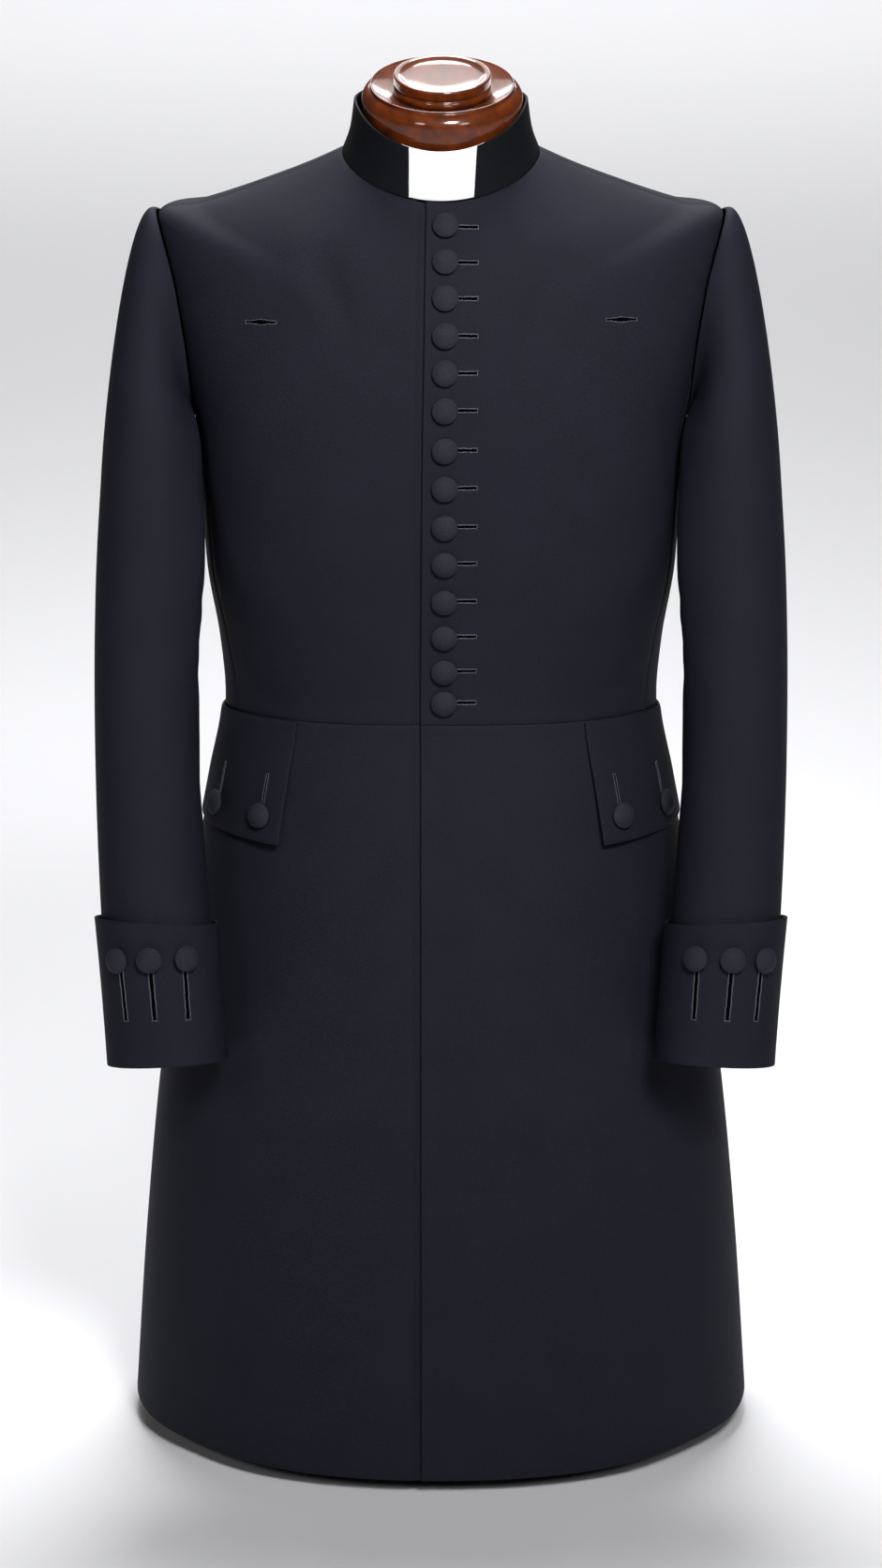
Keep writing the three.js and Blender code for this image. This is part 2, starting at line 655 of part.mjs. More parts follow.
// The torso fills the bodice with a clear space all round, from a short neck down to the hips.
function buildTorso() {
  const columns = 28;
  const bottom = ringAtHeight(90, FORM_BOTTOM_Z);
  const neckRise = 14;
  const levels = [...evenly(NECK + 0.3, SHOULDER, 5), ...evenly(SHOULDER, bottom, 8).slice(1)];
  const ringOf = (t) =>
    Array.from({ length: columns }, (_, j) => {
      const azimuth = (360 * j) / columns - 180;
      const point = moved(bodyPoint(azimuth, t), bodyNormal(azimuth, t), -FORM_CLEARANCE);
      point.x *= FORM_NARROWING;
      return point;
    });
  const rings = levels.map(ringOf);
  const neck = rings[0].map((p) => new THREE.Vector3(p.x * 0.8, p.y * 0.8, p.z + neckRise));
  rings.unshift(neck);
  const points = rings.flat();
  const middleOf = (list) =>
    list.reduce((sum, p) => sum.add(p), new THREE.Vector3()).divideScalar(list.length);
  points.push(middleOf(neck), middleOf(rings[rings.length - 1]));
  const top = points.length - 2;
  const under = points.length - 1;
  const quads = [];
  for (let j = 0; j < columns; j += 1) {
    const next = (j + 1) % columns;
    for (let i = 0; i < rings.length - 1; i += 1)
      quads.push([i, i + 1, i + 1, i].map((row, k) => row * columns + (k < 2 ? j : next)));
    quads.push([top, j, next, top]);
    const end = (rings.length - 1) * columns;
    quads.push([under, end + next, end + j, under]);
  }
  add("form_torso", solid(points, quads), COLOURS.canvas, 0.9);
}

function lathe(profile, segments) {
  const points = profile.map(([radius, height]) => new THREE.Vector2(radius, height));
  return new THREE.LatheGeometry(points, segments).rotateX(Math.PI / 2);
}

// The turned cap: a full round bun under a thin rim, hollowed gently towards the disc.
function buildNeckCap() {
  const cap = [
    [0, -46],
    [54, -46],
    [59, -40],
    [62, -32],
    [63.5, -24],
    [64.1, -17],
    [64.1, -10],
    [63, -5],
    [60.4, -1.8],
    [57.4, -0.4],
    [56.2, 0],
    [55, -0.5],
    [47, -4.6],
    [40, -7.2],
    [0, -7.2],
  ];
  const disc = [
    [0, -6.8],
    [38.6, -6.8],
    [38.6, -1.2],
    [37.3, -0.2],
    [37.6, 1],
    [38.7, 1.8],
    [38.7, 7.2],
    [37.6, 8.7],
    [34.6, 8.7],
    [31.4, 6.2],
    [16, 5.4],
    [0, 5.3],
  ];
  const neck = new THREE.Group();
  neck.position.set(NECK_TOP.x, NECK_TOP.y, NECK_TOP.z);
  neck.rotation.x = radians(NECK_LEAN);
  group.add(neck);
  neck.add(add("form_neck_cap", lathe(cap, 32), COLOURS.mahogany, 0.25));
  neck.add(add("form_cap_disc", lathe(disc, 28), COLOURS.mahogany, 0.25));
}

function buildStand() {
  const { radius, thickness, edge } = BASE;
  const base = [
    [0, 0],
    [radius, 0],
    [radius, thickness - edge],
    [radius - edge, thickness],
    [0, thickness],
  ];
  add("form_base", lathe(base, 36), COLOURS.steel, 0.4, 0.8);
  const bottom = thickness + SEAM;
  const torsoEnd = bodyPoint(90, ringAtHeight(90, FORM_BOTTOM_Z)).z - 4;
  const pole = [
    [0, bottom],
    [POLE_RADIUS, bottom],
    [POLE_RADIUS, torsoEnd],
    [0, torsoEnd],
  ];
  add("form_pole", lathe(pole, 24), COLOURS.steel, 0.4, 0.8);
}

// ---------------------------------------------------------------- assembly

for (const [name, side] of Object.entries(SIDES)) {
  buildFront(name, side);
  buildSideBody(name, side);
  buildBack(name, side);
  buildSkirt(name, side);
  buildSleeve(name, side);
  buildCuff(name, side);
  buildFlap(name, side);
  buildFlapButtons(name, side);
  buildCuffButtons(name, side);
}
buildCollar();
buildTab();
buildFrontButtons();
buildTorso();
buildNeckCap();
buildStand();

export default group;
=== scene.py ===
import math
from functools import partial

import bmesh
import bpy
import numpy as np
from mathutils import Matrix, Vector


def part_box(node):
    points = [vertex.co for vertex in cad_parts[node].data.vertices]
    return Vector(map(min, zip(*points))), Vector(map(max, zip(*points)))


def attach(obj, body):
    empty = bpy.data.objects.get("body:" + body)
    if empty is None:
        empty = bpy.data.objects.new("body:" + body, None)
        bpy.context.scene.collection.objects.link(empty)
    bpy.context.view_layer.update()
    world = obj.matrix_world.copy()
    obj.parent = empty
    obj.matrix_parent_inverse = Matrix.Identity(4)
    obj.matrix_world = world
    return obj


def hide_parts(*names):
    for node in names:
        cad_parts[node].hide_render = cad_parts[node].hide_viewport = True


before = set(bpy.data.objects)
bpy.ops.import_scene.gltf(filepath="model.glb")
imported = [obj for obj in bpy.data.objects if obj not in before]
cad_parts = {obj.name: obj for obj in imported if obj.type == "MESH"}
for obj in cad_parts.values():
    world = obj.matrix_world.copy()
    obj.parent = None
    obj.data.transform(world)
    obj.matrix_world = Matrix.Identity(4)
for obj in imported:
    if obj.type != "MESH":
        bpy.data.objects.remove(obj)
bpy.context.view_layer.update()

# ------------------------------ stand
# The dress form stands on a heavy round steel plate, with a steel pole up into the torso.
# Both are turned, then brushed round their axis and lacquered.

MM = 0.001  # sizes are in millimetres, and Blender's unit is the metre
BASE = {"radius": 150, "thickness": 10, "edge": 3}
POLE_RADIUS = 14
STEEL = "6a6c70"
STEEL_BRUSHING_MM = 0.8


def linear(colour):
    """The linear colour of an sRGB hex value."""
    shares = [int(colour[i : i + 2], 16) / 255 for i in (0, 2, 4)]
    return [s / 12.92 if s <= 0.04045 else ((s + 0.055) / 1.055) ** 2.4 for s in shares] + [1]


def add_node(material, kind, inputs=None, **settings):
    """Adds a node to a material. An input, by name or number, takes a value or a node's output."""
    node = material.node_tree.nodes.new(kind)
    for name, value in settings.items():
        setattr(node, name, value)
    for name, value in (inputs or {}).items():
        if isinstance(value, bpy.types.NodeSocket):
            material.node_tree.links.new(value, node.inputs[name])
        else:
            node.inputs[name].default_value = value
    return node


def finish_of(name, **shader):
    """A new material and its shader, with the shader's constant values set on its own sockets."""
    material = bpy.data.materials.new(name)
    material.use_nodes = True
    principled = material.node_tree.nodes["Principled BSDF"]
    for socket, value in shader.items():
        principled.inputs[socket.replace("_", " ")].default_value = value
    return material, principled


def join(material, output, node, socket):
    material.node_tree.links.new(output, node.inputs[socket])


def wave_scale(gap):
    """Scale of a wave texture whose bands are that far apart, in mm."""
    return 2 * math.pi / (20 * gap * MM)


def two_tone(material, fac, low, high, principled):
    """Base colour that runs from one colour to another as fac goes from 0 to 1."""
    ramp = add_node(material, "ShaderNodeValToRGB", {"Fac": fac})
    ramp.color_ramp.elements[0].color = linear(low)
    ramp.color_ramp.elements[1].color = linear(high)
    join(material, ramp.outputs["Color"], principled, "Base Color")
    return ramp


# Brushed steel: grey metal, with fine rings of brushing that spread its reflections.
steel, steel_shader = finish_of("brushed_steel", Metallic=1.0, Roughness=0.38)
steel_place = add_node(steel, "ShaderNodeTexCoord").outputs["Object"]
rings = add_node(
    steel,
    "ShaderNodeTexWave",
    {"Vector": steel_place, "Scale": wave_scale(STEEL_BRUSHING_MM), "Distortion": 1.5},
    wave_type="RINGS",
    rings_direction="Z",
)
two_tone(steel, rings.outputs["Fac"], STEEL, "74767a", steel_shader)
bump = add_node(
    steel, "ShaderNodeBump", {"Height": rings.outputs["Fac"], "Strength": 0.2, "Distance": 0.05 * MM}
)
join(steel, bump.outputs["Normal"], steel_shader, "Normal")


def mesh_object(bm, name, material):
    """Ends a bmesh as an object in the scene."""
    mesh = bpy.data.meshes.new(name)
    bm.to_mesh(mesh)
    bm.free()
    mesh.materials.append(material)
    made = bpy.data.objects.new(name, mesh)
    bpy.context.scene.collection.objects.link(made)
    return made


def make_piece(bm, name, material, slot, *nodes):
    """Ends a bmesh as a smooth piece that stands for its CAD nodes."""
    piece = mesh_object(bm, name, material)
    piece.data.shade_smooth()
    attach(piece, "root")
    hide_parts(*nodes)
    return piece


def turned(profile, segments, place=Matrix()):
    """A bmesh turned from a profile of (radius, height) in millimetres, then put in place."""
    bm = bmesh.new()
    verts = [bm.verts.new((radius * MM, 0, height * MM)) for radius, height in profile]
    edges = [bm.edges.new(pair) for pair in zip(verts, verts[1:])]
    around = {"cent": (0, 0, 0), "axis": (0, 0, 1), "angle": 2 * math.pi}
    bmesh.ops.spin(bm, geom=verts + edges, **around, steps=segments, use_merge=True)
    bmesh.ops.remove_doubles(bm, verts=bm.verts, dist=0.001 * MM)
    bmesh.ops.recalc_face_normals(bm, faces=bm.faces)
    bm.transform(place)
    return bm


def arc(radius, height, reach, start, end, steps=6):
    """Points of a profile round a centre at (radius, height), between two angles in degrees."""
    angles = np.radians(np.linspace(start, end, steps))
    return [(radius + reach * math.cos(a), height + reach * math.sin(a)) for a in angles]


flat_edge = BASE["radius"] - BASE["edge"]
base_profile = [(0, 0), *arc(BASE["radius"] - 1, 1, 1, -90, 0, 4)]
base_profile += [*arc(flat_edge, BASE["thickness"] - BASE["edge"], BASE["edge"], 0, 90)]
base_profile += [(0, BASE["thickness"])]
base = make_piece(turned(base_profile, 96), "stand_base", steel, "stand_steel", "form_base")

pole_low, pole_high = (corner.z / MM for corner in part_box("form_pole"))
pole_profile = [(0, pole_low), (POLE_RADIUS, pole_low), (POLE_RADIUS, pole_high), (0, pole_high)]
pole = make_piece(turned(pole_profile, 48), "stand_pole", steel, "stand_steel", "form_pole")
for turned_piece in (base, pole):
    turned_piece.data.set_sharp_from_angle(angle=math.radians(40))

# ------------------------------ torso
# The torso is papier-mache under stretched black cotton canvas. It fills the coat with a little
# room all round, has no limbs, and shows only inside the hem and the neck.

CANVAS = {"light": "26262a", "dark": "1b1b1f"}
CANVAS_THREAD_MM = 1.2

# Cotton canvas: a plain weave of round threads, matt and a little uneven in colour.
canvas, canvas_shader = finish_of("cotton_canvas", Roughness=0.9, Sheen_Weight=0.15)
canvas_place = add_node(canvas, "ShaderNodeTexCoord").outputs["Object"]
threads = [
    add_node(
        canvas,
        "ShaderNodeTexWave",
        {"Vector": canvas_place, "Scale": wave_scale(CANVAS_THREAD_MM)},
        bands_direction=direction,
    ).outputs["Fac"]
    for direction in ("X", "Z")
]
weave = add_node(canvas, "ShaderNodeMath", dict(enumerate(threads)), operation="MULTIPLY")
two_tone(canvas, weave.outputs[0], CANVAS["dark"], CANVAS["light"], canvas_shader)
bump = add_node(
    canvas, "ShaderNodeBump", {"Height": weave.outputs[0], "Strength": 0.4, "Distance": 0.2 * MM}
)
join(canvas, bump.outputs["Normal"], canvas_shader, "Normal")

bm = bmesh.new()
bm.from_mesh(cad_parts["form_torso"].data)
bmesh.ops.remove_doubles(bm, verts=bm.verts, dist=0.01 * MM)
torso = make_piece(bm, "torso", canvas, "form_canvas", "form_torso")
rounding = torso.modifiers.new("rounding", "SUBSURF")
rounding.levels = rounding.render_levels = 2

# ------------------------------ neck cap
# The neck of the form ends in a turned mahogany cap: a full round bun with a thin rim, dished
# towards a raised disc with a bead round its edge. It is French polished to a deep gloss.

NECK_TOP = Vector((1, -17, 1125)) * MM  # middle of the cap's upper rim
NECK_LEAN = 13.9  # degrees forward
MAHOGANY = {"dark": "431a06", "light": "692d0c"}
GRAIN_MM = 11

# Polished mahogany: red-brown wood with long streaks of grain under a hard clear gloss.
mahogany, mahogany_shader = finish_of(
    "polished_mahogany",
    Roughness=0.45,
    Specular_IOR_Level=0.1,
    Coat_Weight=1.0,
    Coat_Roughness=0.1,
    Coat_IOR=1.5,
)
wood_place = add_node(mahogany, "ShaderNodeTexCoord").outputs["Object"]
lengthened = add_node(mahogany, "ShaderNodeMapping", {"Vector": wood_place, "Scale": (1, 0.22, 1)})
grain = add_node(
    mahogany,
    "ShaderNodeTexNoise",
    {"Vector": lengthened.outputs[0], "Scale": 1 / (GRAIN_MM * MM), "Detail": 6.0, "Distortion": 0.6},
)
ramp = two_tone(mahogany, grain.outputs["Fac"], MAHOGANY["dark"], MAHOGANY["light"], mahogany_shader)
ramp.color_ramp.elements[0].position = 0.3
ramp.color_ramp.elements[1].position = 0.75

cap_profile = [(0, -46), (53, -46), *arc(53, -41, 5.5, -90, -20, 4)]
cap_profile += [(61.6, -33), (63.2, -26), (64.0, -20), *arc(52.1, -13.5, 12, -8, 72, 12)]
cap_profile += [(57.4, -0.9), *arc(56.6, -0.6, 0.6, 20, 150, 5), (55, -0.9)]
cap_profile += [(51, -2.9), (47, -4.6), (43, -6), (40, -7.2), (0, -7.2)]
disc_profile = [(0, -6.8), (38.6, -6.8), (38.6, -1.4), *arc(38.4, -0.1, 1.1, -100, -260, 6)]
disc_profile += [*arc(37.9, 1.9, 0.8, -60, 0, 3), (38.7, 7), *arc(37.1, 7.1, 1.6, 0, 90)]
disc_profile += [(34.8, 8.6), (33.6, 8), (31.4, 6.4), (29, 5.8), (16, 5.4), (0, 5.3)]
on_neck = Matrix.Translation(NECK_TOP) @ Matrix.Rotation(math.radians(NECK_LEAN), 4, "X")
make_piece(turned(cap_profile, 128, on_neck), "neck_cap", mahogany, "mahogany", "form_neck_cap")
make_piece(turned(disc_profile, 128, on_neck), "cap_disc", mahogany, "mahogany", "form_cap_disc")

# ------------------------------ back panels
# Two back panels are joined down the centre and cut to the waist. All the cloth of the body is a
# worsted twill, lightly milled so that its face is soft. It is near black, with a trace of navy.

SIDES = {"left": 1, "right": -1}  # the wearer's, with the sign of x
CLOTH = 2  # thickness in mm of the wool with its canvas and turnings
SEAM = 0.3  # space between two pieces at a seam, in mm
ROLL = {"depth": 0.7, "width": 2.2}  # how the cloth turns in at a seam, in mm
WOOL = {"dark": "18191f", "light": "22232d"}
TWILL_MM = 1.1  # real twill lines are 0.6 mm apart, too fine to show
DIAGONAL = 0.707  # how much closer a wave texture's bands are when they slant
NAP_MM = 1.6
TONE_MM, TONE_SHARE = 45, 0.3  # size and strength of the cloth's slow changes of colour


def table(columns, *rows):
    """A list of rows, each with its values under the names of the columns."""
    return [dict(zip(columns, row)) for row in rows]


# Rings of the body, from the neck seam down to the hem: heights and depths at the centre front, at
# the sides and at the centre back, half the width, how square the ring is (2 is an ellipse), and how
# soon it leaves the side's height on its way to the front and to the back. A place on the body has
# an azimuth in degrees (0 front, 90 wearer's left side, 180 back) and a ring number.
RING_COLUMNS = ["name", "frontZ", "sideZ", "backZ", "frontY", "sideY", "backY", "half", "power"]
RING_COLUMNS += ["frontRun", "backRun"]
BODY_RINGS = table(
    RING_COLUMNS,
    ["neck seam", 1040, 1069, 1082, -73, 0, 62, 79, 2.1, 1.3, 2],
    ["neck slope", 1014, 1054, 1050, -91, 3, 80, 114, 2.1, 1.5, 1.8],
    ["mid shoulder", 984, 1040.5, 1020, -106, 5, 95, 152, 2.15, 1.7, 1.5],
    ["outer shoulder", 952, 1028.5, 990, -117, 6, 106, 192, 2, 1.8, 1.5],
    ["shoulder point", 921, 1019.5, 962, -124, 6, 113, 227, 1.92, 1.7, 1.5],
    ["upper armhole", 895, 968, 928, -128, 5, 116, 221, 2.2, 1.6, 1.5],
    ["lower armhole", 870, 909, 889, -130, 3, 116, 209, 2.38, 1.6, 1.6],
    ["underarm", 843, 853, 848, -131, 1, 113, 197.5, 2.5, 1.5, 1.5],
    ["chest", 793, 793, 792, -130, 1, 107, 193, 2.5, 1.5, 1.5],
    ["midriff", 737, 730, 730, -125, 2, 99, 189.5, 2.45, 1, 1],
    ["above the waist", 681, 669, 668, -119, 3, 92, 180, 2.3, 0.7, 1],
    ["waist seam", 626, 611, 613, -117, 4, 91, 176.5, 2.15, 0.6, 1],
    ["upper hip", 567, 556, 557, -128, 4, 104, 187, 2.25, 0.7, 1],
    ["hip", 495, 489, 489, -142, 4, 122, 200, 2.3, 1, 1],
    ["seat", 406, 403, 403, -156, 4, 138, 216, 2.35, 1, 1],
    ["thigh", 297, 297, 297, -173, 3, 156, 233, 2.4, 1, 1],
    ["knee", 163, 165, 163, -190, 2, 176, 246.5, 2.3, 1, 1],
    ["hem", 13.5, 23.5, 16, -208, 0, 195, 257, 2.2, 0.35, 1],
)
RING_NAMES = [row["name"] for row in BODY_RINGS]
NECK, SHOULDER, UNDERARM, WAIST, HIP, HEM = (
    RING_NAMES.index(name)
    for name in ("neck seam", "shoulder point", "underarm", "waist seam", "hip", "hem")
)
# Soft flutes of the skirt: azimuths at the waist and at the hem, half width in degrees, and depth
# at the hem
FLUTES = table(
    ["waist", "hem", "spread", "depth"], [44, 57, 12, 5], [112, 112, 15, 6], [148, 150, 14, 9]
)

# Armhole: an oval on the body surface, from the shoulder point to the underarm
ARMHOLE_FRONT = 13.5  # degrees of azimuth that the oval reaches forward of the side
ARMHOLE_BACK = 17  # and behind it
SIDE_SEAM_ANGLE = 120  # degrees round the armhole from the shoulder seam to the side body's seams
SIDE_SEAM_WAIST = {"front": 74, "back": 142}  # azimuths of the side body's seams at the waist
ARMHOLE_MIDDLE = (SHOULDER + UNDERARM) / 2
ARMHOLE_HALF = (UNDERARM - SHOULDER) / 2
SHOULDER_SPANS, ARMHOLE_SPANS, SEAM_SPANS = 44, 48, 72  # faces along a panel's outer edge
BACK_SPANS = 64  # and across it


def column(rows, t, name):
    """One column of a table at ring numbers that may lie between rows, on a smooth curve."""
    values = np.array([row[name] for row in rows], float)
    before, after = 2 * values[0] - values[1], 2 * values[-1] - values[-2]
    values = np.array([before, *values, after])
    i = np.clip(np.floor(t), 0, len(rows) - 2).astype(int)
    f = t - i
    a, b, c, d = (values[i + k] for k in range(4))
    blend = b * (1 - 3 * f**2 + 2 * f**3) + c * (3 * f**2 - 2 * f**3)
    return blend + (c - a) / 2 * (f - 2 * f**2 + f**3) + (d - b) / 2 * (f**3 - f**2)


def ring_point(rows, azimuth, t, swell=0):
    """Points on the surface through a table of rings, in millimetres."""
    angle = np.radians(azimuth)
    forward = np.cos(angle)
    front = forward > 0
    side_y = column(rows, t, "sideY")
    end_y = np.where(front, column(rows, t, "frontY"), column(rows, t, "backY"))
    power = column(rows, t, "power")
    across = np.abs(np.sin(angle) / column(rows, t, "half")) ** power
    along = np.abs(forward / np.abs(end_y - side_y)) ** power
    radius = (across + along) ** (-1 / power) + swell
    side_z = column(rows, t, "sideZ")
    end_z = np.where(front, column(rows, t, "frontZ"), column(rows, t, "backZ"))
    run_power = np.where(front, column(rows, t, "frontRun"), column(rows, t, "backRun"))
    run = np.abs(forward) ** run_power
    x, y, z = np.broadcast_arrays(
        radius * np.sin(angle), side_y - radius * forward, side_z + (end_z - side_z) * run
    )
    return np.stack([x, y, z], -1)


def flute_depth(azimuth, t):
    fall = np.clip((t - WAIST) / (HEM - WAIST), 0, 1)
    sunk = 0
    for flute in FLUTES:
        middle = flute["waist"] + (flute["hem"] - flute["waist"]) * fall
        away = (np.abs(azimuth) - middle) / flute["spread"]
        sunk = sunk + flute["depth"] * fall**1.3 * np.exp(-(away**2))
    return sunk


def body_point(azimuth, t):
    return ring_point(BODY_RINGS, azimuth, t, -flute_depth(azimuth, t))


def unit(vectors):
    return vectors / np.linalg.norm(vectors, axis=-1, keepdims=True)


def normal_of(surface, a, t, outward=1, step=0.01):
    """Unit vectors that point out of a surface whose numbers turn round it and go down it."""
    turn = surface(a + step, t) - surface(a - step, t)
    down = surface(a, t + step) - surface(a, t - step)
    return unit(np.cross(turn, down) * outward)


def body_place(azimuth, t, rise=0.0):
    """Points at a height over the body surface, in millimetres."""
    azimuth, t = np.broadcast_arrays(azimuth, t)
    normal = normal_of(body_point, azimuth, t, -1)
    return body_point(azimuth, t) + normal * np.expand_dims(rise, -1)


def half_seam(azimuth, t):
    """Degrees of azimuth that make half a seam's gap."""
    run = body_point(azimuth + 0.5, t) - body_point(azimuth - 0.5, t)
    return SEAM / 2 / np.linalg.norm(run, axis=-1)


def seam_rings(azimuth, t):
    """The part of a ring that makes half a seam's gap."""
    return SEAM / 2 / np.linalg.norm(body_point(azimuth, t) - body_point(azimuth, t + 1))


WAIST_END = WAIST - seam_rings(45, WAIST)


def armhole_place(angle):
    """Azimuth and ring of the armhole: angle 0 is the shoulder, 90 front, 180 underarm, 270 back."""
    turn = np.radians(angle)
    reach = np.where(np.sin(turn) > 0, ARMHOLE_FRONT, ARMHOLE_BACK)
    return 90 - reach * np.sin(turn), ARMHOLE_MIDDLE - ARMHOLE_HALF * np.cos(turn)


def side_seam(which, t):
    """Azimuth of the side body's seam in front or at the back, at a ring below the armhole."""
    start, top = armhole_place(SIDE_SEAM_ANGLE if which == "front" else -SIDE_SEAM_ANGLE)
    fall = np.clip((t - top) / (WAIST - top), 0, None)
    return start + (SIDE_SEAM_WAIST[which] - start) * (fall if which == "front" else fall**0.8)


def bodice_edge(which):
    """Azimuths and rings of a panel's edge: down the shoulder, round the armhole, down the side."""
    toward = -1 if which == "front" else 1
    shoulder = np.linspace(NECK, SHOULDER, SHOULDER_SPANS + 1)
    loop = -toward * np.linspace(0, SIDE_SEAM_ANGLE, ARMHOLE_SPANS + 1)[1:]
    loop_azimuth, loop_t = armhole_place(loop)
    seam = np.linspace(loop_t[-1], WAIST_END, SEAM_SPANS + 1)[1:]
    azimuth = np.concatenate([np.full(len(shoulder), 90.0), loop_azimuth, side_seam(which, seam)])
    t = np.concatenate([shoulder, loop_t, seam])
    return azimuth + toward * half_seam(azimuth, t), t


def lengths(points, axis):
    """Length along the cloth from the start of each row or column of a grid."""
    steps = np.diff(points, axis=axis, prepend=np.take(points, [0], axis))
    return np.cumsum(np.linalg.norm(steps, axis=2), axis=axis)


def turn_in(points, edges):
    """How far the cloth sinks where it turns in at a seam along the named edges of its grid."""
    across, down = lengths(points, 1), lengths(points, 0)
    found = {"start": across, "end": across[:, -1:] - across, "top": down, "bottom": down[-1:] - down}
    nearest = np.minimum.reduce([found[edge] for edge in edges])
    return ROLL["depth"] * np.exp(-((nearest / ROLL["width"]) ** 2))


def add_grid(bm, points, threads):
    """Adds a grid of faces through points in mm, with its threads' directions in mm on a UV map."""
    weave = bm.loops.layers.uv.verify()
    rows, columns = points.shape[:2]
    grid = bmesh.ops.create_grid(bm, x_segments=columns - 1, y_segments=rows - 1, size=1)["verts"]
    faces = {face for vert in grid for face in vert.link_faces}
    for vert, point in zip(grid, points.reshape(-1, 3) * MM):
        vert.co = point
    laid = dict(zip(grid, threads.reshape(-1, 2) * MM))
    for face in faces:
        for loop in face.loops:
            loop[weave].uv = laid[loop.vert]
    return faces


def lay_cloth(name, place, material, slot, nodes, seams=(), relief=0.0, thickness=CLOTH, tube=False):
    """A grid of cloth laid on a surface, with its weave in real metres on its UV map.
    place(rise) gives its points, relief its folds in mm, and seams the edges that turn in."""
    rise = relief - (turn_in(place(0.0), seams) if seams else 0.0)
    points = place(rise)
    outward = Vector((place(rise + 1.0) - points)[0, 0])
    across, down = lengths(points, 1), lengths(points, 0)
    middle = points.shape[1] // 2
    across = across - across[:, middle : middle + 1]
    down = np.broadcast_to(down[:, middle : middle + 1], across.shape)
    bm = bmesh.new()
    add_grid(bm, points, np.stack([across, -down], -1))
    bm.normal_update()
    bm.faces.ensure_lookup_table()
    if bm.faces[0].normal.dot(outward) < 0:
        bmesh.ops.reverse_faces(bm, faces=bm.faces)
    if tube:
        bmesh.ops.remove_doubles(bm, verts=bm.verts, dist=0.01 * MM)
    piece = make_piece(bm, name, material, slot, *nodes)
    wall = piece.modifiers.new("thickness", "SOLIDIFY")
    wall.thickness = thickness * MM
    wall.offset = -1
    edge = piece.modifiers.new("pressed edges", "BEVEL")
    edge.width = 0.5 * MM
    edge.segments = 2
    edge.limit_method = "ANGLE"
    edge.angle_limit = math.radians(50)
    return piece


def woven(name, dark, light, twill_mm, relief_mm, follows="UV", **shader):
    """Twill cloth: slanting twill lines in relief, with a soft, uneven nap over them."""
    material, principled = finish_of(name, **shader)
    place = add_node(material, "ShaderNodeTexCoord").outputs[follows]
    lines = add_node(
        material,
        "ShaderNodeTexWave",
        {"Vector": place, "Scale": wave_scale(DIAGONAL * twill_mm), "Distortion": 0.4},
        bands_direction="DIAGONAL",
    )
    nap = add_node(
        material, "ShaderNodeTexNoise", {"Vector": place, "Scale": 1 / (NAP_MM * MM), "Detail": 3.0}
    )
    tone = add_node(
        material, "ShaderNodeTexNoise", {"Vector": place, "Scale": 1 / (TONE_MM * MM), "Detail": 2.0}
    )
    tone_and_nap = {0: tone.outputs["Fac"], 1: TONE_SHARE, 2: nap.outputs["Fac"]}
    shade = add_node(material, "ShaderNodeMath", tone_and_nap, operation="MULTIPLY_ADD")
    ramp = two_tone(material, shade.outputs[0], dark, light, principled)
    ramp.color_ramp.elements[0].position = 0.3
    ramp.color_ramp.elements[1].position = 1.0
    lines_and_nap = {0: lines.outputs["Fac"], 1: nap.outputs["Fac"]}
    height = add_node(material, "ShaderNodeMath", lines_and_nap, operation="ADD")
    bump = add_node(
        material,
        "ShaderNodeBump",
        {"Height": height.outputs[0], "Strength": 0.35, "Distance": relief_mm * MM},
    )
    join(material, bump.outputs["Normal"], principled, "Normal")
    return material


# Milled wool twill: soft and matt, so light lifts its colour gently and leaves no gloss.
wool = woven(
    "milled_wool_twill",
    WOOL["dark"],
    WOOL["light"],
    TWILL_MM,
    0.12,
    Roughness=0.7,
    Specular_IOR_Level=0.05,
)

# Folds of the bodice: soft troughs (negative) and ridges along a line between two places, each with
# an azimuth in degrees and a height in mm. Widths and rises are in mm.
FOLD_COLUMNS = ["from_azimuth", "from_z", "to_azimuth", "to_z", "rise", "width"]
DEGREE_RUN = 3.5  # mm of cloth to a degree of azimuth
BODICE_FOLDS = table(
    FOLD_COLUMNS,
    [60, 1026, 34, 945, 1.8, 14],
    [-60, 1026, -34, 945, 1.8, 14],
    [48, 1016, 27, 935, -2.6, 13],
    [-48, 1016, -27, 935, -2.6, 13],
    [90, 1044, 90, 1014, -2.6, 20],
    [-90, 1044, -90, 1014, -2.6, 20],
    [42, 822, 44, 752, -0.5, 2.5],
    [-43, 802, -44, 760, -0.4, 2.5],
    [70, 800, 58, 690, 1.0, 14],
    [-70, 806, -60, 700, 1.0, 14],
    [76, 655, 52, 640, -1.2, 9],
    [-77, 650, -54, 637, -1.0, 9],
    [128, 905, 140, 800, -1.4, 12],
    [-127, 900, -139, 790, -1.6, 12],
    [150, 690, 112, 655, -1.3, 10],
    [-148, 684, -110, 650, -1.5, 10],
)


def fold_rise(folds, azimuth, z, degree_run=DEGREE_RUN):
    """Height of a table of folds at places by azimuth and height."""
    rise = 0.0
    for fold in folds:
        start = np.array([fold["from_azimuth"] * degree_run, fold["from_z"]])
        run = np.array([fold["to_azimuth"] * degree_run, fold["to_z"]]) - start
        away = np.stack([azimuth * degree_run, z], -1) - start
        along = np.clip(away @ run / (run @ run), 0, 1)
        distance = np.linalg.norm(away - along[..., None] * run, axis=-1)
        fade = np.sin(np.pi * np.clip(along, 0.04, 0.96)) ** 0.7  # it dies away at both ends
        rise = rise + fold["rise"] * fade * np.exp(-((distance / fold["width"]) ** 2))
    return rise


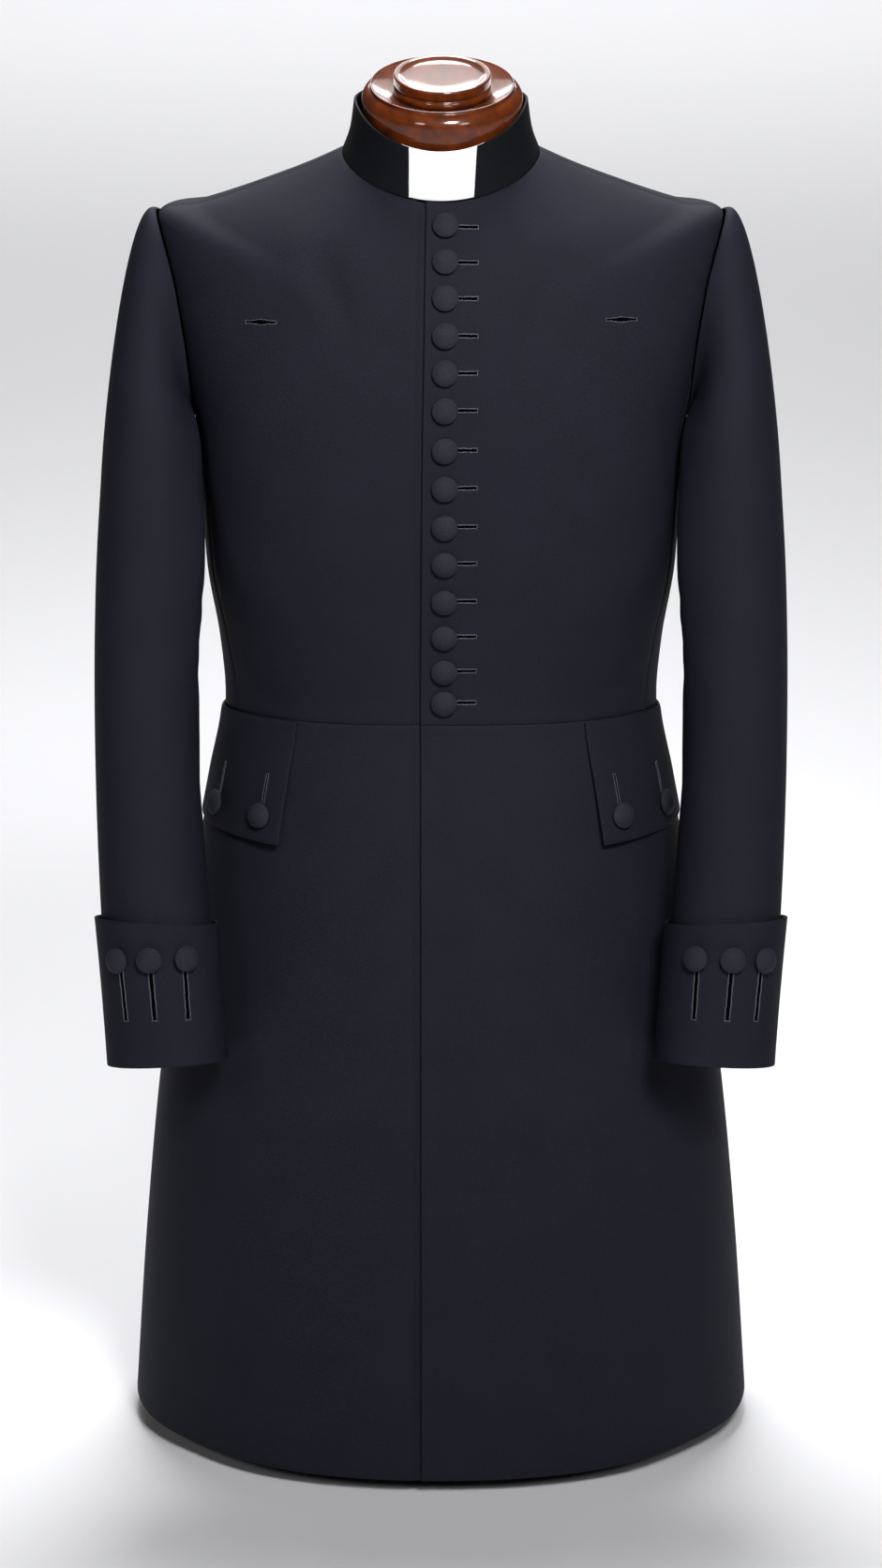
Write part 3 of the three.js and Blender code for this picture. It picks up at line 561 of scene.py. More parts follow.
def body_cloth(name, azimuth, t, nodes, seams, folds, relief=0.0):
    """A panel of the body from the azimuths and rings of its grid."""
    azimuth, t = np.broadcast_arrays(azimuth, t)
    height = body_point(azimuth, t)[..., 2]
    rise = fold_rise(folds, azimuth, height) + relief
    return lay_cloth(
        name, lambda more: body_place(azimuth, t, more), wool, "black_wool", nodes, seams, rise
    )


def spread(start, end, spans):
    """Rows of evenly spread values between two columns of values."""
    share = np.linspace(0, 1, spans + 1)
    return start[:, None] * (1 - share) + end[:, None] * share


def back_columns(start, t, spans):
    """Azimuths of the wearer's left side from a start to the centre back's seam."""
    return spread(start, 180 - half_seam(180.0, t), spans)


for side, sign in SIDES.items():
    start, t = bodice_edge("back")
    back = body_cloth(
        f"back_panel_{side}",
        sign * back_columns(start, t, BACK_SPANS),
        t[:, None],
        [f"back_{side}"],
        ("start", "end", "bottom"),
        BODICE_FOLDS,
    )

# ------------------------------ side bodies
# Each side body is a narrow panel of the same wool under the arm, sewn between the front and the
# back from the armhole to the waist.

SIDE_BODY_SPANS = 56  # faces across it
SETTLE = 0.8  # share of the way down by which its columns are evenly spread
UNDERARM_SPACE = 0.004  # of a ring, between its top and the armhole


def smooth(share):
    """A share that leaves 0 and reaches 1 gently."""
    return share**2 * (3 - 2 * share)


for side, sign in SIDES.items():
    angles = np.linspace(SIDE_SEAM_ANGLE, 360 - SIDE_SEAM_ANGLE, SIDE_BODY_SPANS + 1)
    top_azimuth, top_t = armhole_place(angles)
    down = np.linspace(0, 1, SEAM_SPANS + 1)[:, None]
    t = top_t + (WAIST_END - top_t) * down
    front_seam = side_seam("front", t)
    back_seam = side_seam("back", t)
    first = (front_seam + half_seam(front_seam, t))[:, :1]
    last = (back_seam - half_seam(back_seam, t))[:, -1:]
    share = np.linspace(0, 1, len(angles))
    even = first + (last - first) * share
    azimuth = top_azimuth + (even - top_azimuth) * smooth(np.clip(down / SETTLE, 0, 1))
    azimuth[:, :1], azimuth[:, -1:] = first, last
    side_body = body_cloth(
        f"side_panel_{side}",
        sign * azimuth,
        t + UNDERARM_SPACE * (down == 0),
        [f"side_body_{side}"],
        ("start", "end", "bottom"),
        BODICE_FOLDS,
    )

# ------------------------------ fronts
# The left front laps over the right one, whose edge steps down behind it. The front edge is turned
# and pressed, and a short dart under the chest takes in the waist.

LIE = 0.6  # space under a piece that lies on another
LAP_EDGE = {"neck": -11.5, "waist": -16.2, "hem": -16}  # x of the upper front's edge
UNDERLAP_EDGE = 22
LAP_STEP = 7  # width over which the under front sinks behind the upper one
LAP_MARGIN = 2  # from there to the upper front's edge
LAP_RIDGE = {"rise": 1.6, "in": 1.6, "width": 4, "reach": 10}  # turned cloth at the upper edge
LAP_SPANS = {"ridge": 10, "hidden": 8, "step": 6}  # faces across the parts of the lap
FRONT_SPANS = 76


def lap_x(t):
    """x of the upper front's edge at a ring."""
    above = LAP_EDGE["neck"] + (LAP_EDGE["waist"] - LAP_EDGE["neck"]) * t / WAIST
    below = LAP_EDGE["waist"] + (LAP_EDGE["hem"] - LAP_EDGE["waist"]) * (t - WAIST) / (HEM - WAIST)
    return np.where(t < WAIST, above, below)


def turning_point(start, end, is_short, halvings=40):
    """Where is_short turns false on the way from a start to an end, found by halving."""
    for _ in range(halvings):
        middle = (start + end) / 2
        short = is_short(middle)
        start, end = np.where(short, middle, start), np.where(short, end, middle)
    return (start + end) / 2


def azimuth_at_x(surface, x, t):
    """The azimuth at which the front of a surface passes a distance from the middle, at a ring."""
    right, left = np.full(np.shape(t), -80.0), np.full(np.shape(t), 80.0)
    return turning_point(right, left, lambda azimuth: surface(azimuth, t)[..., 0] < x)


def underlap_sink(points, t):
    """How far the under front sinks behind the upper one, on the front half of the body."""
    share = np.clip((points[..., 0] - lap_x(t) + LAP_MARGIN + LAP_STEP) / LAP_STEP, 0, 1)
    return (CLOTH + LIE) * smooth(share) * (points[..., 1] < 0)


def front_relief(sign, azimuth, t):
    """Height of a front near the lap: the upper edge's ridge, or the under front's sinking."""
    points = body_point(azimuth, t)
    if sign < 0:
        return -underlap_sink(points, t)
    away = (points[..., 0] - lap_x(t) - LAP_RIDGE["in"]) / LAP_RIDGE["width"]
    return LAP_RIDGE["rise"] * np.exp(-(away**2))


def front_columns(sign, t, end, spans):
    """Azimuths of rows that start at the front edge, of the upper (left) or under (right) front."""
    if sign > 0:
        edge = azimuth_at_x(body_point, lap_x(t), t)
        inside = azimuth_at_x(body_point, lap_x(t) + LAP_RIDGE["reach"], t)
        parts = [spread(edge, inside, LAP_SPANS["ridge"])[:, :-1], spread(inside, end, spans)]
        return np.concatenate(parts, axis=1)
    edge = azimuth_at_x(body_point, UNDERLAP_EDGE, t)
    stop = azimuth_at_x(body_point, lap_x(t) - LAP_MARGIN, t)
    step = azimuth_at_x(body_point, lap_x(t) - LAP_STEP - LAP_MARGIN, t)
    parts = [
        spread(edge, stop, LAP_SPANS["hidden"])[:, :-1],
        spread(stop, step, LAP_SPANS["step"])[:, :-1],
        spread(step, -end, spans),
    ]
    return np.concatenate(parts, axis=1)


for side, sign in SIDES.items():
    end, t = bodice_edge("front")
    azimuth = front_columns(sign, t, end, FRONT_SPANS)
    front = body_cloth(
        f"front_panel_{side}",
        azimuth,
        t[:, None],
        [f"front_{side}"],
        ("end", "bottom"),
        BODICE_FOLDS,
        front_relief(sign, azimuth, t[:, None]),
    )

# ------------------------------ skirts
# A skirt panel for each side runs from the waist seam to the knee and round to the centre back. It
# falls almost plain in front, and in soft flutes at the sides and the back.

SKIRT_FOLDS = table(
    FOLD_COLUMNS,
    [52, 560, 66, 250, -1.6, 24],
    [-52, 560, -66, 250, -1.6, 24],
    [60, 330, 63, 40, 1.2, 30],
    [-61, 300, -64, 30, 1.2, 30],
    [96, 520, 104, 80, 2.0, 30],
    [-95, 510, -102, 60, 2.2, 30],
    [166, 590, 170, 90, 2.2, 22],
    [-165, 585, -168, 70, 2.4, 24],
    [132, 540, 134, 60, 1.6, 24],
    [-131, 530, -133, 90, 1.8, 24],
)
SKIRT_TOP = WAIST + seam_rings(45, WAIST)
SKIRT_SPANS = {"front": 72, "back": 76}  # faces across it, from the side to each edge
SKIRT_ROWS = {"hips": 60, "below": 92}
for side, sign in SIDES.items():
    hips = np.linspace(SKIRT_TOP, HIP, SKIRT_ROWS["hips"])[:-1]
    t = np.concatenate([hips, np.linspace(HIP, HEM, SKIRT_ROWS["below"])])
    sides = np.full(len(t), 90.0)
    forward = front_columns(sign, t, sides, SKIRT_SPANS["front"])
    behind = sign * back_columns(sides, t, SKIRT_SPANS["back"])[:, 1:]
    azimuth = np.concatenate([forward, behind], axis=1)
    skirt = body_cloth(
        f"skirt_panel_{side}",
        azimuth,
        t[:, None],
        [f"skirt_{side}"],
        ("end", "top"),
        SKIRT_FOLDS,
        front_relief(sign, azimuth, t[:, None]),
    )

# ------------------------------ sleeves
# Each sleeve, of the same wool, is eased into the armhole with a full, smooth head and hangs a
# little forward, bent at the elbow. It ends inside its cuff.

# Sections below the armhole: centre, half width, half depth, lean forward and cant inward in degrees
SLEEVE_SECTIONS = table(
    ["name", "x", "y", "z", "half", "depth", "lean", "cant"],
    ["upper arm", 232.6, -46, 820, 39.3, 61, 12, -4],
    ["above the elbow", 233.6, -61, 745, 42.6, 60, 13, -2],
    ["elbow", 236, -79, 665, 42, 58, 14, 0],
    ["forearm", 235.2, -98, 575, 42.2, 56, 14, 2],
    ["above the cuff", 230, -122, 480, 44, 54, 14, 4],
    ["wrist", 219.8, -154, 356, 46, 51, 13, -3],
)
SLEEVE_POWER = 2.25
# How the cloth leaves the armhole seam, at the top, front, underarm and back of the loop
SLEEVE_HEAD = table(
    ["name", "x", "y", "z", "reach"],
    ["top", 1, 0, 1, 82],
    ["front", 0.8, -0.6, 0.05, 42],
    ["underarm", 1, -0.1, -0.1, 32],
    ["back", 0.75, 0.65, 0.05, 42],
)
SLEEVE_CAP_DROP = 250  # pull of the upper arm's direction on the sleeve head
SLEEVE_CAP_FADE = 0.45  # share of that pull that is gone at the underarm
SLEEVE_SEAM_SHARE = 0.6  # of a seam's gap, between the sleeve and the armhole's edge
SLEEVE_EASE = 0.35  # share of the head over which its folds fade towards the seam
SLEEVE_INSIDE_CUFF = 3  # the sleeve's end is this far up inside the cuff
SLEEVE_DEGREE_RUN = 0.9  # mm of cloth to a degree round it
SLEEVE_ROWS = {"head": 66, "arm": 118}
SLEEVE_SPANS = 96  # faces round it
# Folds by angle round the sleeve (0 outer side, 90 front, 180 inner side, 270 back) and height
SLEEVE_FOLDS = table(
    FOLD_COLUMNS,
    [150, 700, 205, 664, -1.8, 9],
    [160, 668, 215, 640, -1.4, 8],
    [140, 730, 180, 712, -1.0, 8],
    [235, 905, 262, 800, -2.0, 12],
    [128, 880, 150, 800, -1.6, 10],
    [145, 960, 148, 650, 5.5, 18],
    [170, 600, 205, 540, -1.0, 12],
    [300, 720, 262, 640, 1.2, 14],
    [40, 760, 60, 560, 0.8, 16],
)


def section_point(angle, s):
    """Points of the left sleeve's full sections."""
    turn = np.radians(angle)
    half, depth, lean, cant = (
        column(SLEEVE_SECTIONS, s, name) for name in ("half", "depth", "lean", "cant")
    )
    across = np.abs(np.cos(turn) / half) ** SLEEVE_POWER
    along = np.abs(np.sin(turn) / depth) ** SLEEVE_POWER
    radius = (across + along) ** (-1 / SLEEVE_POWER)
    x, y = radius * np.cos(turn), -radius * np.sin(turn)
    lean, cant = -np.radians(lean), -np.radians(cant)
    z = -x * np.sin(cant)
    turned_in = [
        x * np.cos(cant),
        y * np.cos(lean) - z * np.sin(lean),
        y * np.sin(lean) + z * np.cos(lean),
    ]
    centre = [column(SLEEVE_SECTIONS, s, name) for name in "xyz"]
    return np.stack(np.broadcast_arrays(*[p + c for p, c in zip(turned_in, centre)]), -1)


def head_column(angle, name):
    """One column of the sleeve head's table, on a smooth wave round the loop."""
    values = np.array([row[name] for row in SLEEVE_HEAD], float)
    place = (angle % 360) / 90
    i = np.floor(place).astype(int)
    f = (1 - np.cos(np.pi * (place - i))) / 2
    return values[i % 4] * (1 - f) + values[(i + 1) % 4] * f


def head_point(angle, s):
    """Points of the left sleeve's head, from the armhole's seam (s is -1) to the upper arm (0)."""
    azimuth, t = armhole_place(angle)
    edge = body_place(azimuth, t, 0.5)
    into = body_point(90.0, ARMHOLE_MIDDLE) - edge
    into[..., 0] = 0
    start = edge + unit(into) * SLEEVE_SEAM_SHARE * SEAM + np.array([SEAM, 0, 0])
    leave = unit(np.stack([head_column(angle, name) for name in "xyz"], -1))
    leave = leave * head_column(angle, "reach")[..., None]
    meet = section_point(angle, np.zeros_like(angle))
    arrive = unit(section_point(angle, np.full_like(angle, 0.05)) - meet) * SLEEVE_CAP_DROP
    arrive = arrive * (1 - SLEEVE_CAP_FADE * (1 - np.cos(np.radians(angle))) / 2)[..., None]
    f = (s + 1)[..., None]
    blend = start * (1 - 3 * f**2 + 2 * f**3) + leave * (f - 2 * f**2 + f**3)
    return blend + meet * (3 * f**2 - 2 * f**3) + arrive * (f**3 - f**2)


def sleeve_point(angle, s):
    angle, s = (np.array(values, float) for values in np.broadcast_arrays(angle, s))
    head = head_point(angle, np.clip(s, -1, 0))
    return np.where((s < 0)[..., None], head, section_point(angle, np.clip(s, 0, None)))


def sleeve_place(sign, angle, s, rise=0.0):
    """Points at a height over a sleeve's surface."""
    step = 0.004
    turn = sleeve_point(angle + 0.5, s) - sleeve_point(angle - 0.5, s)
    down = sleeve_point(angle, s + step) - sleeve_point(angle, np.clip(s - step, -1, None))
    points = sleeve_point(angle, s) + unit(np.cross(turn, down)) * np.expand_dims(rise, -1)
    return points * np.array([sign, 1, 1])


LAST_SECTION = len(SLEEVE_SECTIONS) - 1
WRIST_SPAN = SLEEVE_SECTIONS[-2]["z"] - SLEEVE_SECTIONS[-1]["z"]
round_sleeve = np.linspace(-180, 180, SLEEVE_SPANS + 1)[None, :]
for side, sign in SIDES.items():
    head = np.linspace(-1, 0, SLEEVE_ROWS["head"])[:-1]
    arm = np.linspace(0, LAST_SECTION - SLEEVE_INSIDE_CUFF / WRIST_SPAN, SLEEVE_ROWS["arm"])
    s = np.concatenate([head, arm])[:, None]
    height = sleeve_point(round_sleeve, s)[..., 2]
    relief = fold_rise(SLEEVE_FOLDS, round_sleeve % 360 + 0 * s, height, SLEEVE_DEGREE_RUN)
    relief = relief * np.clip((s + 1) / SLEEVE_EASE, 0, 1)
    sleeve = lay_cloth(
        f"coat_sleeve_{side}",
        lambda rise: sleeve_place(sign, round_sleeve, s, rise),
        wool,
        "black_wool",
        [f"sleeve_{side}"],
        relief=relief,
        tube=True,
    )

# ------------------------------ cuffs
# Each cuff is a deep band turned back over the end of the sleeve. It stands a little off the sleeve
# at its upper edge.

CUFF_HEIGHT = 109
CUFF_CLOTH = 2.4
CUFF_STAND = 2.6  # how much further the cuff's upper lip stands out
CUFF_TOP = LAST_SECTION - CUFF_HEIGHT / WRIST_SPAN
CUFF_ROWS = 34


def cuff_place(sign, angle, s, rise=0.0):
    """Points at a height over a cuff's outer face."""
    share = (s - CUFF_TOP) / (LAST_SECTION - CUFF_TOP)
    return sleeve_place(sign, angle, s, LIE + CUFF_STAND * (1 - share) ** 2 + CUFF_CLOTH + rise)


for side, sign in SIDES.items():
    s = np.linspace(CUFF_TOP, LAST_SECTION, CUFF_ROWS)[:, None]
    cuff = lay_cloth(
        f"coat_cuff_{side}",
        lambda rise: cuff_place(sign, round_sleeve, s, rise),
        wool,
        "black_wool",
        [f"cuff_{side}"],
        thickness=CUFF_CLOTH,
        tube=True,
    )

# ------------------------------ collar
# The collar is a plain stiff stand of finer black wool over buckram, sewn to the neck. Its two ends
# stand apart in front, where the tab shows.

COLLAR_CLOTH = 2
COLLAR_RINGS = table(
    RING_COLUMNS,
    ["seam", 1040.15, 1069.15, 1082.15, -73, 0, 62, 79, 2.1, 1.3, 2],
    ["middle", 1060, 1087, 1102, -76.5, 0, 58.5, 72.5, 2.1, 1.6, 2],
    ["top", 1081, 1111, 1121, -79.5, 0, 56.5, 69, 2.2, 2, 2],
)
COLLAR_GAP = {"right": -25.8, "left": 26.6}  # x of the collar's two front ends at the seam
COLLAR_SPLAY = 2.5  # how much further the left end leans away at the top
COLLAR_ROWS, COLLAR_SPANS = 22, 150

# Fine black wool: a deeper black in a closer weave, with almost no sheen.
collar_wool = woven(
    "fine_black_wool", "0b0c10", "111217", 0.8, 0.06, Roughness=0.75, Specular_IOR_Level=0.12
)


def collar_point(azimuth, t):
    return ring_point(COLLAR_RINGS, azimuth, t)


def collar_place(azimuth, t, rise=0.0):
    azimuth, t = np.broadcast_arrays(azimuth, t)
    return collar_point(azimuth, t) + normal_of(collar_point, azimuth, t) * np.expand_dims(rise, -1)


t = np.linspace(0, len(COLLAR_RINGS) - 1, COLLAR_ROWS)
left_end = azimuth_at_x(collar_point, COLLAR_GAP["left"] + COLLAR_SPLAY * t / t[-1], t)
right_end = azimuth_at_x(collar_point, COLLAR_GAP["right"], t)
around = spread(left_end, 360 + right_end, COLLAR_SPANS)
collar = lay_cloth(
    "stand_collar",
    lambda rise: collar_place(around, t[:, None], rise),
    collar_wool,
    "collar_wool",
    ["collar"],
    thickness=COLLAR_CLOTH,
)

# ------------------------------ clerical tab
# The white tab is a strip of starched linen. It isn't sewn on: it slides in behind the two ends of
# the collar, which hold it.

TAB_REACH = 7  # how far the tab runs on behind each end
TAB_THICKNESS = 0.8
TAB_SPACE = 0.8  # between the collar and the tab behind it
TAB_TOP = 1.98  # a little under the collar's upper ring
TAB_ROWS, TAB_SPANS = 20, 32

# Starched linen: bright white and smooth from the iron, with a faint weave.
linen = woven(
    "starched_white_linen", "f0f0f3", "fcfcfe", 0.7, 0.03, Roughness=0.45, Specular_IOR_Level=0.4
)
t = np.linspace(0, TAB_TOP, TAB_ROWS)
left_end = azimuth_at_x(collar_point, COLLAR_GAP["left"] + COLLAR_SPLAY + TAB_REACH, t)
right_end = azimuth_at_x(collar_point, COLLAR_GAP["right"] - TAB_REACH, t)
around = spread(right_end, left_end, TAB_SPANS)
tab = lay_cloth(
    "clerical_tab",
    lambda rise: collar_place(around, t[:, None], rise),
    linen,
    "white_linen",
    ["collar_tab"],
    relief=-COLLAR_CLOTH - TAB_SPACE,
    thickness=TAB_THICKNESS,
)

# ------------------------------ pocket flaps
# A deep flap of the same wool hangs from the waist seam over each hip. Its lower edge runs level,
# and its square front corner stands off the skirt a little.

FLAP_CLOTH = 2.2
FLAP_FRONT = {"top": 50.2, "bottom": 48.6}  # azimuths of the front edge
FLAP_BACK = {"top": 103, "bottom": 105}
FLAP_BOTTOM_Z = 523.5
FLAP_SPACE = 1  # between the skirt and the flap
FLAP_TOP = WAIST + 0.015  # ring of its seam
FLAP_LIFT = {"rise": 4.8, "width": 11}  # how far its front corner stands off, over how many degrees
FLAP_RINGS = 1.5  # rings from its seam to its lower corner
FLAP_ROWS, FLAP_COLUMNS = 34, 56


def ring_at_height(azimuth, z):
    """The ring number at which the body passes a height."""
    high, low = np.full(np.shape(azimuth), float(NECK)), np.full(np.shape(azimuth), float(HEM))
    return turning_point(high, low, lambda t: body_point(azimuth, t)[..., 2] > z)


def flap_place(azimuth, t, more=0.0):
    """Points at a height over a flap's outer face, whose front corner stands off the skirt."""
    drop = np.clip((t - WAIST) / FLAP_RINGS, 0, 1)
    away = (np.abs(azimuth) - FLAP_FRONT["bottom"]) / FLAP_LIFT["width"]
    lift = FLAP_LIFT["rise"] * np.exp(-(away**2)) * drop**1.5
    return body_place(azimuth, t, FLAP_SPACE + FLAP_CLOTH + lift + more)


for side, sign in SIDES.items():
    along = np.linspace(0, 1, FLAP_COLUMNS)
    top = sign * (FLAP_FRONT["top"] + (FLAP_BACK["top"] - FLAP_FRONT["top"]) * along)
    bottom = sign * (FLAP_FRONT["bottom"] + (FLAP_BACK["bottom"] - FLAP_FRONT["bottom"]) * along)
    lowest = ring_at_height(bottom, FLAP_BOTTOM_Z)
    down = np.linspace(0, 1, FLAP_ROWS)[:, None]
    t = FLAP_TOP + (lowest - FLAP_TOP) * down
    azimuth = top + (bottom - top) * down
    flap = lay_cloth(
        f"hip_flap_{side}",
        lambda rise: flap_place(azimuth, t, rise),
        wool,
        "black_wool",
        [f"pocket_flap_{side}"],
        seams=("top",),
        thickness=FLAP_CLOTH,
    )

# ------------------------------ buttons
# The buttons are moulds covered in the coat's wool, drawn tight over a low dome and tucked in
# behind. Each is sewn on by a shank of thread, which isn't modelled: only its space is left.

BUTTON = {"radius": 10.4, "height": 6.4, "shank": 1.8}
FRONT_BUTTON_X = {"top": 3.6, "bottom": 2.4}
FRONT_BUTTON_HEIGHTS = [1023, 997.5, 971, 943, 914.5, 885.5, 854, 823.5, 792, 761.5, 730, 700]
FRONT_BUTTON_HEIGHTS += [671, 644.5]
FLAP_BUTTONS = table(["azimuth", "z"], [55.2, 544.5], [72.3, 543])
# Degrees round the cuff from its outer side towards the front, and drop from the cuff's upper edge
CUFF_BUTTONS = table(["angle", "drop"], [59.5, 30], [85, 28.5], [113, 27])

# Wool stretched over a mould: the coat's wool, coloured a little lighter as a painted sheen for the
# light that the domed, drawn-tight cover catches.
button_wool = woven(
    "wool_button_cover",
    "202127",
    "2c2d36",
    0.9,
    0.12,
    follows="Object",
    Roughness=0.75,
    Specular_IOR_Level=0.1,
)

radius, height = BUTTON["radius"], BUTTON["height"]
button_profile = [(0, 0), (radius - 2.4, 0), *arc(radius - 1.9, 1.9, 1.9, -90, 20, 7)]
button_profile += [(radius * share, height - 3.9 * share**2.2) for share in np.linspace(0.96, 0, 10)]


def covered_button(name, node, point, normal):
    """A covered button on a point of the cloth."""
    normal = Vector(normal)
    place = Matrix.Translation(Vector(point * MM) + normal * BUTTON["shank"] * MM)
    place = place @ normal.to_track_quat("Z", "Y").to_matrix().to_4x4()
    return make_piece(turned(button_profile, 40, place), name, button_wool, "button_wool", node)


def at_body(azimuth, t):
    """One point on the body, and the direction out of the cloth there."""
    azimuth, t = np.array(float(azimuth)), np.array(float(t))
    return body_place(azimuth, t), normal_of(body_point, azimuth, t, -1)


front_buttons = []
for i, z in enumerate(FRONT_BUTTON_HEIGHTS):
    share = i / (len(FRONT_BUTTON_HEIGHTS) - 1)
    x = FRONT_BUTTON_X["top"] + (FRONT_BUTTON_X["bottom"] - FRONT_BUTTON_X["top"]) * share
    t = ring_at_height(np.array(0.0), z)
    azimuth = azimuth_at_x(body_point, x, t)
    covered_button(f"coat_button_{i + 1:02d}", f"front_button_{i + 1:02d}", *at_body(azimuth, t))
    front_buttons.append((azimuth, t))
flap_buttons = []
cuff_buttons = []
for side, sign in SIDES.items():
    for i, row in enumerate(FLAP_BUTTONS, 1):
        azimuth = np.array(sign * row["azimuth"])
        t = ring_at_height(azimuth, row["z"])
        point, over = flap_place(azimuth, t), flap_place(azimuth, t, 1.0)
        covered_button(f"hip_button_{side}_{i}", f"flap_button_{side}_{i}", point, over - point)
        flap_buttons.append((azimuth, t))
    for i, row in enumerate(CUFF_BUTTONS, 1):
        angle, s = np.array(row["angle"]), np.array(CUFF_TOP + row["drop"] / WRIST_SPAN)
        face = LIE + CUFF_STAND + CUFF_CLOTH
        point, over = (sleeve_place(sign, angle, s, rise) for rise in (face, face + 1))
        covered_button(f"wrist_button_{side}_{i}", f"cuff_button_{side}_{i}", point, over - point)
        cuff_buttons.append((sign, angle, s))

# ------------------------------ buttonholes
# Each buttonhole is cut through the cloth and worked round with black silk twist, which leaves two
# raised lips, a dark slit between them and a bar across the end. The slit is drawn as a near-black
# strip of painted shade between the lips. The chest has a slit on each side.

# Sizes in mm along each hole from its button's middle, half the space between its lips, how far the
# slit gapes, the lips' half width, and how unevenly they run
HOLES = {
    "front": {"start": 7, "end": 25.5, "half": 1.5, "gape": 0, "lip": 0.45, "wander": 0.15},
    "hip": {"start": 7, "end": 34, "half": 1.1, "gape": 0, "lip": 0.32, "wander": 0.12},
    "cuff": {"start": 7, "end": 49, "half": 1.9, "gape": 0, "lip": 0.52, "wander": 0.22},
    "chest": {"start": -13, "end": 13, "half": 1.1, "gape": 1.1, "lip": 0.4, "wander": 0.12},
}
LIP_HEIGHT = 0.5
CORRECTIONS = 4  # rounds in which a point is brought to its true distance along the cloth
SLIT = {"inset": 0.2, "height": 0.2}  # the near-black strip of painted shade between the lips
CUFF_HOLE_RUN = (-10.2, -32, -124)  # the way from a button down its hole, on the left cuff
TWIST_MM = 1.3  # real turns of the thread are 0.5 mm apart, too fine to show
CHEST_SLITS = table(["x", "z"], [142, 957], [-141.5, 955])
CHEST_SLIT_RING = 3.5  # a first guess of where they lie

# Silk buttonhole twist: a smooth black thread that catches the light in short ridges at each stitch.
# Its colour is painted sheen: grey rather than black, and lighter on each ridge.
silk, silk_shader = finish_of("black_silk_twist", Roughness=0.4, Specular_IOR_Level=0.5)
stitch_ridges_and_sheen = add_node(
    silk,
    "ShaderNodeTexWave",
    {
        "Vector": add_node(silk, "ShaderNodeTexCoord").outputs["UV"],
        "Scale": wave_scale(TWIST_MM),
        "Distortion": 2.0,
    },
)
# Painted sheen: a grey colour for the black twist, lighter where each ridge rises.
two_tone(silk, stitch_ridges_and_sheen.outputs["Fac"], "3d3e47", "4e505b", silk_shader)
bump = add_node(
    silk, "ShaderNodeBump", {"Height": stitch_ridges_and_sheen.outputs["Fac"], "Strength": 0.5, "Distance": 0.2 * MM}
)
join(silk, bump.outputs["Normal"], silk_shader, "Normal")
# The inside of a slit: a near-black strip of painted shade, for the shade on the raw edges of cloth
# and canvas deep in the cut.
painted_slit_shade = woven(
    "slit_painted_shade", "020203", "060608", 0.9, 0.05, Roughness=0.9, Specular_IOR_Level=0.0
)
random = np.random.default_rng(12)


def patch(place, a, t, direction):
    """Points by distances in mm along a direction on a surface and across it, from a place on it."""
    turn = (place(a + 0.01, t) - place(a - 0.01, t)) / 0.02
    fall = (place(a, t + 0.01) - place(a, t - 0.01)) / 0.02
    normal = unit(np.cross(turn, fall))
    along = np.array(direction, float)
    along = unit(along - normal * (along @ normal))
    way = np.stack([along, np.cross(normal, along)], -1)
    steps = np.linalg.lstsq(np.stack([turn, fall], -1), way, rcond=None)[0]
    middle = place(a, t)

    def points(u, v, rise):
        change = steps @ np.stack([u, v])
        for _ in range(CORRECTIONS):
            reached = (place(a + change[0], t + change[1]) - middle) @ way
            change = change + steps @ (np.stack([u, v]) - reached.T)
        return place(a + change[0], t + change[1], rise)

    return points


def add_cord(bm, on, u, v, half_width, half_height, finish=0):
    """Adds a cord that lies on the cloth along a line and is pinched at its ends."""
    points = on(u, v, 0.0)
    normal = unit(on(u, v, 1.0) - points)
    run = unit(np.gradient(points, axis=0))
    side = np.cross(run, normal)
    pinch = np.sqrt(1 - np.linspace(-1, 1, len(u)) ** 10)[:, None, None]
    angle = np.linspace(0, 2 * math.pi, 9)[None, :, None]
    width = np.broadcast_to(half_width, u.shape)[:, None, None]
    ring = np.cos(angle) * width * side[:, None] + np.sin(angle) * half_height * normal[:, None]
    rings = points[:, None] + pinch * ring
    threads = np.broadcast_arrays(lengths(rings, 0)[:, :1], (angle * width)[..., 0])
    for face in add_grid(bm, rings, np.stack(threads, -1)):
        face.material_index = finish


def add_hole(bm, on, start, end, half, gape, lip, wander, bars):
    """Adds a worked hole along a patch, with bars at the given ends."""
    u = np.linspace(start, end, 44)
    spaced = half + gape * np.exp(-(((u - (start + end) / 2) / (0.2 * (end - start))) ** 2))
    # The first cord is the slit, in material 1: the near-black painted shade.
    add_cord(bm, on, u, 0 * u, spaced - SLIT["inset"], SLIT["height"], 1)
    for edge in (-1, 1):
        waves = random.uniform(0, 2 * math.pi, 3)
        uneven = sum(np.sin(u * pace + wave) for pace, wave in zip((0.35, 0.8, 1.7), waves)) / 2
        add_cord(bm, on, u, edge * spaced + wander * uneven, lip, LIP_HEIGHT)
    for bar in bars:
        tilt = random.uniform(-0.15, 0.15)
        v = np.linspace(-1, 1, 11) * (half + lip + 0.5)
        add_cord(bm, on, bar + tilt * v, v, lip * 0.9, LIP_HEIGHT * 1.1)


def buttonholes(name, kind, patches):
    """One piece for all the holes of a kind."""
    bm = bmesh.new()
    hole = HOLES[kind]
    for on in patches:
        bars = (hole["start"], hole["end"]) if kind == "chest" else (hole["end"],)
        add_hole(bm, on, **hole, bars=bars)
    bmesh.ops.remove_doubles(bm, verts=bm.verts, dist=0.001 * MM)
    bmesh.ops.recalc_face_normals(bm, faces=bm.faces)
    piece = make_piece(bm, name, silk, "button_wool")
    piece.data.materials.append(painted_slit_shade)


